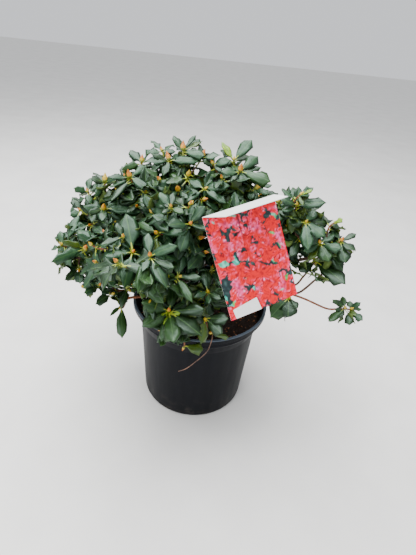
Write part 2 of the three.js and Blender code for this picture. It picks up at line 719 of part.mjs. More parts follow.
masses.forEach((mass) => {
  mass.middle = new THREE.Vector3(...mass.centre);
  mass.facing ??= -0.1;
});
makePot();
makeSoil();
makeTrunk();
masses.forEach(makeBough);
makeLabelShoot();
makeDroopingTwig();
makeLabel();
const taken = spaceTaken();
masses.forEach((mass, index) => makeFoliage(mass, index, taken));

export default plant;
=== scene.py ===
from math import acos, atan2, copysign, cos, exp, hypot, log, pi, radians, sin, sqrt, tan

import bmesh
import bpy
import numpy as np
from mathutils import Matrix, Vector, noise
from numpy.linalg import norm


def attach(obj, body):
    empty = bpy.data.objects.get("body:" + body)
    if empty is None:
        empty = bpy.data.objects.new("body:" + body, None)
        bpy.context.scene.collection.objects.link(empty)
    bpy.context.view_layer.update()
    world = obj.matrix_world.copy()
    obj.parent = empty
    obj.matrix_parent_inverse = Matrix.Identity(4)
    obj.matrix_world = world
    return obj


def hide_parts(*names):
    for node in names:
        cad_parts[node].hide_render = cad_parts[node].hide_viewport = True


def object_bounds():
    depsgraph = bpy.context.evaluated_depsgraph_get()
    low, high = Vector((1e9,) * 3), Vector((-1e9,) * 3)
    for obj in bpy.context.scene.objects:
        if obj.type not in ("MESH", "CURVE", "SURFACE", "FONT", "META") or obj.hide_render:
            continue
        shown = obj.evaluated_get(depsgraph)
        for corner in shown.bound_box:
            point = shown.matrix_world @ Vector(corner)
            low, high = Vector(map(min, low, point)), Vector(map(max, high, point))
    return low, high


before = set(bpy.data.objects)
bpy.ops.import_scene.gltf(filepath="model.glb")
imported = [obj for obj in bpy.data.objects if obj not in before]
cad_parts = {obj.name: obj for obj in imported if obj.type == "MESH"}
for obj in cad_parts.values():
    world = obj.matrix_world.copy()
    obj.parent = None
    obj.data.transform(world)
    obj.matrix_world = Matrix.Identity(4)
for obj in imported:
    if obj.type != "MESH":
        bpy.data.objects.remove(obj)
cadLow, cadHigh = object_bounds()
mm = 0.001
print("frame loaded")


def addObject(name, data):
    piece = bpy.data.objects.new(name, data)
    bpy.context.scene.collection.objects.link(piece)
    return piece


# Camera: millimetres, degrees, pixels for the focal length and the picture's size, metres for the clips
viewpoint = {"place": (11.9, -732.5, 766.4), "pitch": 32.0, "roll": 6.1, "focal": 400.0, "image": (416, 555),
             "sensor": 36, "clip": (0.01, 50)}
eye, pictureMiddle = np.array(viewpoint["place"]), np.array(viewpoint["image"]) / 2


def viewAxes():
    pitch, roll = radians(viewpoint["pitch"]), radians(viewpoint["roll"])
    level, upright = np.array((1.0, 0, 0)), np.array((0, sin(pitch), cos(pitch)))
    right = level * cos(roll) + upright * sin(roll)
    up = upright * cos(roll) - level * sin(roll)
    return right, up, np.array((0, cos(pitch), -sin(pitch)))


viewRight, viewUp, viewAhead = viewAxes()


def sightLine(across, down):
    # from the camera through a pixel of the picture, one unit deep
    aside = viewRight * (across - pictureMiddle[0]) - viewUp * (down - pictureMiddle[1])
    return viewAhead + aside / viewpoint["focal"]


def spotAt(across, down, depth):
    # the point behind a pixel whose place along Y is the depth, in millimetres
    line = sightLine(across, down)
    return eye + line * (depth - eye[1]) / line[1]


def pixelsOf(points):
    # the pixel of each point, and how far in front of the camera it is
    gap = points - eye
    deep = gap @ viewAhead
    flat = np.stack((gap @ viewRight, -(gap @ viewUp)), axis=-1) / deep[..., None]
    return flat * viewpoint["focal"] + pictureMiddle, deep


def makeCamera():
    data = bpy.data.cameras.new("camera")
    data.sensor_width = viewpoint["sensor"]
    data.lens = viewpoint["sensor"] * viewpoint["focal"] / viewpoint["image"][1]
    data.clip_start, data.clip_end = viewpoint["clip"]
    camera = addObject("camera", data)
    turn = Matrix((viewRight, viewUp, -viewAhead)).transposed().to_4x4()
    camera.matrix_world = Matrix.Translation(Vector(viewpoint["place"]) * mm) @ turn
    bpy.context.scene.camera = camera


makeCamera()
print("camera placed")


# Small helpers for colours, nodes and meshes
def linear(colours):
    # screen colours, 0 to 255, as the linear values that a shader takes
    values = np.asarray(colours) / 255
    return np.where(values <= 0.04045, values / 12.92, ((values + 0.055) / 1.055) ** 2.4)


def makeNode(tree, kind, inputs=None, output=0, **settings):
    # adds a node and gives the socket that is read from it
    node = tree.nodes.new(kind)
    for key, value in settings.items():
        setattr(node, key, value)
    for key, value in (inputs or {}).items():
        if isinstance(value, bpy.types.NodeSocket):
            tree.links.new(value, node.inputs[key])
        else:
            node.inputs[key].default_value = value
    return node.outputs[output] if node.outputs else None


def mapRange(tree, value, given, wanted):
    sockets = zip(("Value", "From Min", "From Max", "To Min", "To Max"), (value, *given, *wanted))
    return makeNode(tree, "ShaderNodeMapRange", dict(sockets))


def speckle(tree, where, scale, stretch=None, detail=3.0, roughness=0.55):
    # noise over the piece's own coordinates, stretched along an axis if asked
    if stretch:
        where = makeNode(tree, "ShaderNodeMapping", {"Vector": where, "Scale": stretch})
    inputs = {"Vector": where, "Scale": scale, "Detail": detail, "Roughness": roughness}
    return makeNode(tree, "ShaderNodeTexNoise", inputs)


finishBlend = {"stops": (0.32, 0.68), "wearScale": 1.7, "wearRange": (0.3, 0.7)}


def makeFinish(name, colours, gloss, grain, stretch=None, relief=None, **sockets):
    # a surface whose colour wanders between two tones, with a relief of some strength, scale and depth
    material = bpy.data.materials.new(name)
    material.use_nodes = True
    tree = material.node_tree
    where = makeNode(tree, "ShaderNodeTexCoord", output="Object")
    ramp = makeNode(tree, "ShaderNodeValToRGB", {"Fac": speckle(tree, where, grain, stretch)})
    for stop, position, colour in zip(ramp.node.color_ramp.elements, finishBlend["stops"], colours):
        stop.position, stop.color = position, (*linear(colour), 1)
    patches = speckle(tree, where, grain * finishBlend["wearScale"], stretch)
    links = {"Base Color": ramp, "Roughness": mapRange(tree, patches, finishBlend["wearRange"], gloss)}
    if relief:
        strength, scale, depth = relief
        inputs = {"Height": speckle(tree, where, scale, stretch), "Strength": strength, "Distance": depth}
        links["Normal"] = makeNode(tree, "ShaderNodeBump", inputs)
    shader = tree.nodes["Principled BSDF"]
    for socket, source in links.items():
        tree.links.new(source, shader.inputs[socket])
    for socket, value in sockets.items():
        shader.inputs[socket.replace("_", " ")].default_value = value
    return material


def meshObject(name, points, faces, edges=()):
    mesh = bpy.data.meshes.new(name)
    mesh.from_pydata([tuple(point) for point in points], list(edges), [tuple(face) for face in faces])
    mesh.update()
    return addObject(name, mesh)


def builtObject(name, built):
    mesh = bpy.data.meshes.new(name)
    built.to_mesh(mesh)
    return addObject(name, mesh)


def joinRings(rings, sides):
    # faces between rings of point numbers, where a ring may be one point
    faces = []
    for low, high in zip(rings, rings[1:]):
        for side in range(sides):
            after = (side + 1) % sides
            corners = ((low, side), (low, after), (high, after), (high, side))
            faces.append(tuple(dict.fromkeys(ring[place % len(ring)] for ring, place in corners)))
    return faces


def turnFacesOut(piece):
    mesh = bmesh.new()
    mesh.from_mesh(piece.data)
    bmesh.ops.recalc_face_normals(mesh, faces=mesh.faces)
    if mesh.calc_volume(signed=True) < 0:
        bmesh.ops.reverse_faces(mesh, faces=mesh.faces)
    mesh.to_mesh(piece.data)
    mesh.free()


def setAttribute(piece, name, values, domain="POINT"):
    # a number, a vector or a colour for each point or face
    values = np.asarray(values, np.float32)
    kinds = {1: ("FLOAT", "value"), 3: ("FLOAT_VECTOR", "vector"), 4: ("FLOAT_COLOR", "color")}
    kind, field = kinds[values.shape[1] if values.ndim == 2 else 1]
    piece.data.attributes.new(name, kind, domain).data.foreach_set(field, values.ravel())


def smooth(piece, angle=None):
    piece.data.shade_smooth()
    if angle is not None:
        piece.data.set_sharp_from_angle(angle=radians(angle))


def mount(piece, nodes=()):
    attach(piece, "root")
    if nodes:
        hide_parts(*nodes)


def settle(name, source, nodes=(), sharp=None):
    # the evaluated shape as a plain mesh that rides on the plant
    mesh = bpy.data.meshes.new_from_object(source.evaluated_get(bpy.context.evaluated_depsgraph_get()))
    bpy.data.objects.remove(source)
    mesh.name = name
    piece = addObject(name, mesh)
    mount(piece, nodes)
    if sharp:
        smooth(piece, sharp)


def randomSource(seed):
    # the source's generator of random shares
    state, word = seed & 0xFFFFFFFF, 0xFFFFFFFF

    def draw():
        nonlocal state
        state = (state + 0x6D2B79F5) & word
        mixed = ((state ^ (state >> 15)) * (state | 1)) & word
        mixed ^= (mixed + (((mixed ^ (mixed >> 7)) * (mixed | 61)) & word)) & word
        return ((mixed ^ (mixed >> 14)) & word) / 4294967296
    return draw


def pick(random, choices):
    return choices[int(random() * len(choices)) % len(choices)]


def ranged(span, share):
    # a share of the way along a span, given as its start and its length
    return span[0] + span[1] * share


# Geometry Nodes trees
def startTree(name, **inputs):
    # with named inputs, each of its value's kind, or for an object where the value is None
    tree = bpy.data.node_groups.new(name, "GeometryNodeTree")
    for way in ("INPUT", "OUTPUT"):
        tree.interface.new_socket("Geometry", in_out=way, socket_type="NodeSocketGeometry")
    for label, value in inputs.items():
        kind = "NodeSocket" + ("Object" if value is None else type(value).__name__.title())
        socket = tree.interface.new_socket(label, in_out="INPUT", socket_type=kind)
        if value is not None:
            socket.default_value = value
    return tree, makeNode(tree, "NodeGroupInput").node.outputs


def endTree(tree, geometry, finishes):
    # each finish is a material with the face part and the tint it is for, the first one for all faces
    geometry = makeNode(tree, "GeometryNodeRealizeInstances", {"Geometry": geometry})
    for material, *wanted in finishes:
        inputs = {"Geometry": geometry, "Material": material}
        chosen = [calculate(tree, "COMPARE", attribute(tree, name), float(value), 0.4)
                  for name, value in zip(("part", "tint"), wanted) if value is not None]
        if chosen:
            inputs["Selection"] = calculate(tree, "MULTIPLY", chosen[0], chosen[-1])
        geometry = makeNode(tree, "GeometryNodeSetMaterial", inputs)
    makeNode(tree, "NodeGroupOutput", {"Geometry": geometry})
    return tree


def grow(name, source, tree, slot, nodes=(), sharp=None, **values):
    # what a tree makes of its source and the values of its inputs, as a piece
    modifier = source.modifiers.new(tree.name, "NODES")
    modifier.node_group = tree
    for item in tree.interface.items_tree:
        if item.in_out == "INPUT" and item.name in values:
            modifier[item.identifier] = values[item.name]
    settle(name, source, nodes, sharp)
    if "Shape" in values:
        bpy.data.objects.remove(values["Shape"])


def attribute(tree, name, kind="FLOAT"):
    return makeNode(tree, "GeometryNodeInputNamedAttribute", {"Name": name}, data_type=kind)


def calculate(tree, operation, *values):
    return makeNode(tree, "ShaderNodeMath", dict(enumerate(values)), operation=operation)


def calculateVector(tree, operation, vector, other):
    inputs = {0: vector, "Scale" if operation == "SCALE" else 1: other}
    return makeNode(tree, "ShaderNodeVectorMath", inputs, operation=operation)


def randomValue(tree, low, high, seed, kind="FLOAT"):
    first, output = (2, 1) if kind == "FLOAT" else (0, 0)
    inputs = {first: low, first + 1: high, "Seed": seed}
    return makeNode(tree, "FunctionNodeRandomValue", inputs, output, data_type=kind)


def copiesAt(tree, points, shape, turn, size):
    source = makeNode(tree, "GeometryNodeObjectInfo", {"Object": shape, "As Instance": True}, "Geometry")
    rotation = makeNode(tree, "FunctionNodeEulerToRotation", {"Euler": turn})
    return makeNode(tree, "GeometryNodeInstanceOnPoints", {
        "Points": points, "Instance": source, "Rotation": rotation, "Scale": size})


def sprayTree(name, finishes):
    # copies of one shape at points that carry a turn, a size and a tint
    tree, given = startTree(name, Shape=None, Size=1.0, Spread=0.06, Seed=3)
    low, high = (calculate(tree, way, 1.0, given["Spread"]) for way in ("SUBTRACT", "ADD"))
    grown = calculate(tree, "MULTIPLY", randomValue(tree, low, high, given["Seed"]), given["Size"])
    size = calculateVector(tree, "SCALE", attribute(tree, "size", "FLOAT_VECTOR"), grown)
    turn = attribute(tree, "turn", "FLOAT_VECTOR")
    return endTree(tree, copiesAt(tree, given["Geometry"], given["Shape"], turn, size), finishes)


def scatterTree(name, finishes):
    # loose copies of one shape over a ground, each with its own turn and size
    tree, given = startTree(name, Shape=None, Density=5000.0, Smallest=0.5, Largest=1.5, Tilt=0.5, Seed=2)
    spots = makeNode(tree, "GeometryNodeDistributePointsOnFaces", {
        "Mesh": given["Geometry"], "Density": given["Density"], "Seed": given["Seed"]})
    size = randomValue(tree, given["Smallest"], given["Largest"], given["Seed"])
    turn = randomValue(tree, (-1, -1, -6.3), (1, 1, 6.3), given["Seed"], "FLOAT_VECTOR")
    tilt = makeNode(tree, "ShaderNodeCombineXYZ", {"X": given["Tilt"], "Y": given["Tilt"], "Z": 1.0})
    turn = calculateVector(tree, "MULTIPLY", turn, tilt)
    return endTree(tree, copiesAt(tree, spots, given["Shape"], turn, size), finishes)


def limbTree(name, finishes):
    # round limbs along chains of edges whose points carry a girth, with a relief on their bark
    tree, given = startTree(name, Sides=8, Relief=0.03, Grain=300.0, Seed=1)
    line = makeNode(tree, "GeometryNodeMeshToCurve", {"Mesh": given["Geometry"]})
    ring = makeNode(tree, "GeometryNodeCurvePrimitiveCircle", {"Resolution": given["Sides"], "Radius": 1.0})
    girth = attribute(tree, "girth")
    tube = makeNode(tree, "GeometryNodeCurveToMesh", {
        "Curve": line, "Profile Curve": ring, "Scale": girth, "Fill Caps": True})
    place = calculateVector(tree, "MULTIPLY", makeNode(tree, "GeometryNodeInputPosition"), (1, 1, 0.35))
    rough = makeNode(tree, "ShaderNodeTexNoise", {
        "Vector": place, "W": given["Seed"], "Scale": given["Grain"], "Detail": 3.0, "Roughness": 0.6},
        noise_dimensions="4D")
    height = calculate(tree, "MULTIPLY", calculate(tree, "SUBTRACT", rough, 0.5),
                       calculate(tree, "MULTIPLY", girth, given["Relief"]))
    offset = calculateVector(tree, "SCALE", makeNode(tree, "GeometryNodeInputNormal"), height)
    barked = makeNode(tree, "GeometryNodeSetPosition", {"Geometry": tube, "Offset": offset})
    return endTree(tree, barked, finishes)


# Lines in millimetres: arrays of points, read by their length
def unit(vector):
    return vector / max(norm(vector), 1e-9)


def lineSteps(line):
    return norm(np.diff(line, axis=0), axis=1)


def bezierLine(first, second, third, last, count=48):
    t = np.linspace(0, 1, count)[:, None]
    return (1 - t) ** 3 * first + 3 * (1 - t) ** 2 * t * second + 3 * (1 - t) * t ** 2 * third + t ** 3 * last


def cornerLine(start, corner, end, steps):
    return [(1 - t) ** 2 * start + 2 * (1 - t) * t * corner + t ** 2 * end for t in np.linspace(0, 1, steps)]


def splineLine(points, spans=12):
    # a centripetal spline through the points
    def mix(p, q, start, end):
        return p * (end - t) / (end - start) + q * (t - start) / (end - start)

    points = [np.array(point, float) for point in points]
    points = [2 * points[0] - points[1], *points, 2 * points[-1] - points[-2]]
    line = []
    for a, b, c, d in zip(points, points[1:], points[2:], points[3:]):
        knots = np.cumsum([0] + [max(norm(q - p), 1e-3) ** 0.5 for p, q in ((a, b), (b, c), (c, d))])
        for t in np.linspace(knots[1], knots[2], spans, endpoint=False):
            ab, bc, cd = mix(a, b, *knots[:2]), mix(b, c, *knots[1:3]), mix(c, d, *knots[2:])
            before, after = mix(ab, bc, knots[0], knots[2]), mix(bc, cd, knots[1], knots[3])
            line.append(mix(before, after, knots[1], knots[2]))
    return np.array([*line, points[-2]])


def alongLine(line, share):
    # the point and the direction at a share of the line's length
    steps = lineSteps(line)
    reached = np.concatenate([[0], np.cumsum(steps)])
    wanted = np.clip(share, 0, 1) * reached[-1]
    index = int(min(np.searchsorted(reached, wanted, side="right") - 1, len(steps) - 1))
    span = line[index + 1] - line[index]
    return line[index] + span * ((wanted - reached[index]) / steps[index]), span / steps[index]


def resampled(line, step):
    count = max(int(lineSteps(line).sum() / step) + 1, 3)
    return np.array([alongLine(line, share)[0] for share in np.linspace(0, 1, count)])


def tapered(line, step, radii, power=1):
    # the line in even steps, the share of its length at each of its points, and its radius there
    line = resampled(line, step)
    along = np.linspace(0, 1, len(line))
    return line, along, radii[0] + (radii[1] - radii[0]) * along ** power


# Limbs and foliage follow the same table and rule as the CAD source, in millimetres
soilTop = 228.0
trunk = {"foot": (-4, 6, soilTop + 0.3), "fork": (-14, 10, 286), "radii": (13, 9.5), "flare": 0.75,
         "rise": 0.16, "bends": (0.4, 0.35), "aside": (2, -1)}
crown = {"leaf": 62.0, "heart": (-10, 10, 320), "facing": -0.1, "lift": 0.5, "outwards": 0.65,
         "leafRoom": 0.52, "smallest": 0.3, "fewest": 5, "budInside": 26}
goldenAngle = radians(137.5)


def foliageMass(name, centre, reach, carrier, at, radii, **more):
    # a mass round its centre, and its bough: the share of its carrier's length where it leaves, its radii and
    # spots on its way; the numbers of tips, and of leaves on each, are worked out unless they are given
    return {"name": name, "middle": np.array(centre, float), "reach": reach, "from": carrier, "at": at,
            "radii": radii, "leaf": crown["leaf"], "lift": crown["lift"], "via": [], "tips": None,
            "leaves": None, **more}


masses = [
    foliageMass("crown_top", (-60, 60, 486), 84, "trunk", 0.97, (8.5, 4.5)),
    foliageMass("left_front", (-158, -85, 398), 78, "trunk", 0.62, (8, 4.2)),
    foliageMass("front", (-85, -138, 395), 72, "trunk", 0.74, (7, 4), leaf=68),
    foliageMass("right_upper", (181, 25, 456), 62, "trunk", 0.68, (7.5, 3.4)),
    foliageMass("back_middle", (-30, 188, 392), 88, "trunk", 0.82, (7.5, 4.2)),
    foliageMass("top_left", (-146, 60, 455), 80, "crown_top", 0.22, (6, 4)),
    foliageMass("behind_label", (62, 0, 425), 80, "crown_top", 0.12, (6, 4)),
    foliageMass("middle", (-60, -52, 452), 82, "crown_top", 0.34, (5.5, 3.8), leaf=66),
    foliageMass("top_right", (44, 62, 488), 78, "crown_top", 0.5, (5.5, 3.8)),
    foliageMass("left_shoulder", (-224, 50, 412), 76, "left_front", 0.3, (5.5, 3.8)),
    foliageMass("left_tip", (-264, -14, 350), 62, "left_front", 0.6, (4.6, 3.2), leaf=52),
    foliageMass("left_low", (-214, -58, 288), 60, "left_front", 0.42, (4.6, 3.2), leaf=52, leaves=7),
    foliageMass("left_hanging", (-166, -74, 240), 60, "left_front", 0.1, (3.6, 2.8),
                via=[(-104, -42, 276), (-150, -64, 276)], lift=-0.25, tips=2, leaves=3),
    foliageMass("front_low", (-48, -150, 300), 62, "front", 0.22, (4.6, 3.2)),
    foliageMass("low_middle", (10, -96, 334), 60, "front", 0.1, (4.6, 3.2)),
    foliageMass("right_outer", (250, 0, 403), 64, "right_upper", 0.42, (5, 3.2)),
    foliageMass("right_stray", (300, -60, 306), 36, "right_upper", 0.26, (2.8, 1.9),
                via=[(200, -58, 322), (262, -62, 303)], leaf=38, tips=0),
    foliageMass("low_right", (168, -60, 296), 44, "right_upper", 0.14, (3.4, 2.6), leaf=50, tips=2),
    foliageMass("back_left", (-152, 150, 388), 84, "back_middle", 0.4, (5.5, 3.8)),
    foliageMass("back_right", (92, 142, 392), 82, "back_middle", 0.3, (5.5, 3.8)),
]


def depthAt(across, down):
    # where a bud at a pixel stands: a little inside the first mass on its sight line, or, where the line
    # passes them all, at its nearest to the one that it passes closest by
    line, hits, passes = unit(sightLine(across, down)), [], []
    for mass in masses:
        gap = mass["middle"] - eye
        far = gap @ line
        aside, shell = gap @ gap - far ** 2, mass["reach"] - crown["budInside"]
        if aside < shell ** 2:
            hits.append(far - sqrt(shell ** 2 - aside))
        passes.append((aside / mass["reach"] ** 2, far))
    far = min(hits) if hits else min(passes)[1]
    return round(float(eye[1] + line[1] * far))


def shoot(across, down, *leaves, depth=None, **more):
    # a shoot that faces the camera: the pixel of its bud, and the leaves that show on it; it may be told its
    # depth, its axis, whether it flowers or is bare of other leaves, and the bough and way of its arc
    depth = depthAt(across, down) if depth is None else depth
    return {"spot": spotAt(across, down, depth), "leaves": leaves, **more}


def leafy(*place, **more):
    # one whose bud is a small one, for leaves
    return shoot(*place, flower=False, **more)


# Each leaf: its tip's pixel, breadth in pixels, lean to (+) or from (-) the camera, a tint if it stands out;
# the dark tint on leaves that sit in shade is painted shade
seenShoots = [
    leafy(133, 252, (126, 215, 24, -0.1), (106, 256, 11, 0.05), (124, 288, 18, 0.12, 4)),
    leafy(123, 237, (101, 245, 7, 0.05), (117, 223, 9, -0.1)),
    leafy(150, 256, (148, 234, 12, -0.15), (178, 246, 11, 0.05, 4), (167, 289, 14, 0.15, 1),
        (142, 272, 9, 0.3), (174, 268, 10, 0.1, 0), (138, 292, 15, 0.1, 2)),
    leafy(157, 233, (187, 231, 11, 0.05, 4), (139, 224, 9, -0.1)),
    leafy(179, 277, (174, 256, 11, -0.15), (186, 255, 8, -0.1), (200, 277, 8, 0.05), (167, 272, 5, 0.3),
        (192, 302, 10, 0.1, 2)),
    leafy(208, 292, (202, 271, 10, -0.2), (193, 298, 9, 0.3), (209, 304, 8, 0.8), (222, 300, 9, 0.2, 0)),
    leafy(169, 311, (140, 302, 17, 0.05, 2), (143, 326, 15, 0.1, 2), (174, 344, 20, 0.25, 2),
        (203, 337, 24, 0.03, 0), (203, 309, 11, 0.05, 0), (174, 281, 15, -0.1), (190, 301, 9, -0.1),
        (161, 343, 10, 0.05, 2), (161, 315, 5, 0.5, 5), (164, 325, 4, 0.3, 5), (180, 313, 4, 0.3, 5)),
    leafy(184, 347, (203, 350, 12, 0.05, 3), depth=-161, axis=(-0.3, -0.4, -0.7), bare=True),
    leafy(205, 319, (228, 319, 13, 0.05, 0), (222, 334, 12, 0.15, 0), (201, 343, 12, 0.1, 3), depth=-146),
    leafy(210, 333, (230, 338, 5, 0.05, 3), depth=-140, axis=(0.3, -0.3, 0.6), bare=True),
    shoot(121, 306, (122, 338, 11, 0.05, 2), (110, 316, 4, 0.2, 2), depth=-70, axis=(-0.3, -0.2, -0.6)),
    shoot(128, 289, (121, 309, 8, 0.1, 0), depth=-80),
    shoot(112, 294, (96, 304, 9, 0.1, 0), (98, 288, 8, 0.05, 1), depth=-70),
    shoot(104, 209, (144, 213, 10, 0.03), (102, 222, 11, 0.7), (88, 213, 7, 0.1), (120, 201, 5, -0.1)),
    shoot(137, 206, (152, 211, 6, 0.1), (126, 213, 7, 0.2)),
    leafy(171, 207, (159, 192, 10, -0.1), (173, 193, 8, -0.2), (162, 213, 6, 0.4), (184, 213, 8, 0.2)),
    shoot(178, 190, (170, 197, 7, 0.3), (188, 199, 7, 0.3), flower=True),
    leafy(205, 189, (189, 180, 11, -0.1, 4), (182, 204, 9, 0.15, 4), (231, 186, 11, 0.05, 4),
        (226, 204, 9, 0.15)),
    shoot(203, 200, depth=20, flower=True),
    shoot(183, 150, (197, 134, 5, -0.1), (173, 135, 8, -0.1, 4), (203, 141, 6, -0.05, 3),
        (204, 156, 9, 0.08, 4), (199, 151, 7, 0.03), depth=78, flower=True),
    shoot(169, 160, (163, 176, 10, 0.2), (199, 162, 9, 0.03), (145, 162, 9, 0.05), (151, 154, 6, 0.03),
        (178, 154, 5, 0.03), depth=70, flower=True),
    leafy(162, 151, (149, 152, 6, 0.05), (176, 152, 5, 0.05), depth=90),
    leafy(213, 164, (230, 161, 9, 0.05, 4), (222, 172, 6, 0.2), (203, 160, 6, 0.03), depth=66),
    shoot(142, 162, (130, 150, 11, -0.2), (158, 158, 6, 0.1), (121, 170, 7, 0.1)),
    shoot(130, 177, (150, 191, 11, 0.1), (146, 166, 8, -0.15), (107, 177, 6, 0.03), (110, 187, 5, 0.05),
        (111, 201, 8, 0.15)),
    shoot(105, 182, (95, 197, 8, 0.3), (91, 178, 9, 0.1), (120, 176, 7, 0.1)),
    shoot(88, 192, (73, 188, 7, 0.1), (90, 204, 8, 0.4), (99, 183, 6, -0.1)),
    shoot(202, 157, (204, 153, 9, 0.5, 4), (186, 159, 8, 0.03), (222, 155, 9, 0.03, 4), (213, 167, 7, 0.1)),
    shoot(234, 160, (251, 141, 12, -0.1, 4), (221, 141, 7, -0.05, 5), (217, 165, 9, 0.1)),
    shoot(240, 171, (271, 182, 13, 0.03, 2), (257, 157, 11, -0.1, 4), (222, 172, 9, 0.1), (231, 181, 7, 0.3),
        (263, 167, 6, -0.05, 0)),
    shoot(255, 189, (270, 195, 7, 0.1), (249, 200, 10, 0.3, 4), depth=60),
    shoot(85, 249, (61, 241, 6, 0.05, 3), (52, 262, 9, 0.1, 4), (99, 243, 10, 0.05, 4), depth=-43),
    shoot(79, 269, (65, 280, 6, 0.1, 0), (80, 284, 10, 0.3, 1), (65, 266, 9, 0.05, 1), depth=-34),
    shoot(80, 210, (69, 236, 10, 0.1, 4), (70, 216, 7, 0.1, 4), (74, 199, 7, -0.1), depth=24),
    leafy(62, 245), leafy(96, 262), leafy(100, 285), shoot(90, 225), leafy(117, 262, depth=-179),
    shoot(115, 222, (107, 241, 9, 0.3, 2)),
    leafy(140, 275), leafy(150, 300), shoot(118, 285, depth=-49), leafy(92, 245), leafy(190, 224),
    shoot(215, 240), shoot(222, 178), leafy(160, 180), shoot(204, 252, depth=-70), shoot(212, 268, depth=-60),
    shoot(222, 258, depth=-30), shoot(198, 238, depth=-60), shoot(188, 176, depth=30, flower=True),
    leafy(306, 222, (316, 210, 12, -0.2, 4), (325, 237, 14, 0.05, 4), (308, 251, 15, 0.1, 4),
        (288, 222, 12, 0.05)),
    leafy(297, 205, (293, 188, 10, -0.2, 4), (279, 199, 9, 0.05), (326, 203, 11, 0.03), (281, 211, 9, 0.1)),
    shoot(279, 203, (291, 217, 7, 0.2)),
    leafy(300, 195, (313, 190, 3, 0.05, 5), (311, 195, 3, 0.1, 4), (303, 205, 5, 0.2, 3), depth=12,
        axis=(0.5, 0, 0.6)),
    shoot(291, 250, depth=5), shoot(288, 226, depth=12),
    leafy(320, 243, (335, 233, 12, -0.1, 4), (342, 249, 10, 0.05, 4), (304, 251, 9, 0.1),
        (329, 262, 16, 0.1, 2), (303, 235, 12, 0.1, 4)),
    leafy(341, 241, (356, 234, 6, -0.05), (355, 251, 9, 0.1, 0), (346, 264, 14, 0.1, 0)),
    shoot(334, 223, (343, 219, 5, 0.05, 5), depth=-4, axis=(0.7, 0, 0.5)),
    leafy(315, 262, (298, 272, 14, 0.1, 0), (345, 284, 16, 0.1, 0), depth=-6, axis=(0.3, -0.3, -0.2),
        arc=("right_stray", 0.45, (295, 285, -44), (303, 277, -34))),
    leafy(329, 268, (338, 262, 8, 0.1, 2), depth=-20,
        arc=("right_stray", 0.64, (300, 292, -50), (315, 280, -38))),
    shoot(300, 240, (291, 256, 12, 0.2, 0), (287, 236, 9, 0.05, 2)),
    leafy(289, 298, (271, 317, 20, 0.05, 2), (288, 317, 19, 0.15, 0), (297, 308, 8, 0.1, 0), depth=-58,
        axis=(0.1, -0.5, 0.4), bare=True),
    leafy(345, 308, (342, 295.5, 7, -0.1, 2), (331.5, 299, 5, 0.05, 2), (329, 321, 8.5, 0.1, 2),
        (334.5, 310, 4.5, 0.2, 0), (337, 300, 5, 0.1, 0), (340, 316, 6, 0.3, 0), depth=-60,
        axis=(-0.1, -0.5, 0.8)),
    leafy(351, 309, (361.5, 302, 6, 0.05, 4), (350, 300.5, 7, -0.1, 2), (349, 324.5, 8.5, 0.1, 0),
        (362.5, 320.5, 6.5, 0.1, 4), (356, 316, 5, 0.3, 3), depth=-56, axis=(0.3, -0.4, 0.7)),
]
# Where the picture shows through or past the crown: circles, in pixels, that no leaf placed by rule enters
openings = [
    (195, 172, 5), (206, 166, 4), (160, 139, 5), (137, 322, 6), (133, 338, 12), (149, 341, 9), (150, 358, 12),
    (168, 358, 12), (184, 362, 11), (204, 366, 12), (152, 332, 4), (177, 350, 3), (212, 344, 5),
    (196, 359, 5), (106, 330, 18), (90, 306, 12), (72, 298, 14), (108, 304, 6), (136, 300, 5), (212, 352, 16),
    (236, 332, 14), (303, 280, 9), (320, 300, 18), (340, 298, 10), (362, 272, 14), (364, 224, 14),
    (312, 320, 18), (268, 330, 14), (47, 240, 9), (44, 256, 7), (60, 276, 6), (281, 325, 6), (294, 322, 5),
    (350, 222, 8), (335, 206, 9), (222, 318, 8), (299, 177, 9), (314, 180, 8),
]


def borderDistance(point, mass, other):
    own = np.sum((point - mass["middle"]) ** 2) - mass["reach"] ** 2
    theirs = np.sum((point - other["middle"]) ** 2) - other["reach"] ** 2
    return (theirs - own) / (2 * norm(mass["middle"] - other["middle"]))


def roomAt(point, mass):
    borders = [borderDistance(point, mass, other) for other in masses if other is not mass]
    return min(mass["reach"] - norm(point - mass["middle"]), *borders)


limbs = {"trunkStep": 1.6, "boughStep": 2.4, "dip": 0.3, "shallowest": 4.0, "deepest": 0.58, "room": 6,
         "knot": 0.07, "knotTurn": 0.55, "keeps": 0.4, "bends": (0.35, 0.3), "young": 0.8, "thinYoung": 0.45,
         "thin": 3.7, "thick": 5, "sharp": 50}
limbLines = {}


def boughLine(mass):
    # from its carrier into the mass, as deep as the mass has room for it
    foot, tangent = alongLine(limbLines[mass["from"]], mass["at"])
    via = [np.array(spot, float) for spot in mass["via"]]
    inwards = [foot, *via][-1] - mass["middle"]
    if not via:
        inwards[2] -= norm(inwards) * limbs["dip"]
    inwards, depth = unit(inwards), limbs["shallowest"]
    while (depth < mass["reach"] * limbs["deepest"]
           and roomAt(mass["middle"] + inwards * depth, mass) > limbs["room"]):
        depth += 2
    end = mass["middle"] + inwards * depth
    if via:
        return splineLine([foot, *via, end])
    span = norm(end - foot)
    leaving = unit(tangent * limbs["keeps"] + unit(end - foot) * (1 - limbs["keeps"]))
    near, far = limbs["bends"]
    return bezierLine(foot, foot + leaving * span * near, end + inwards * span * far, end)


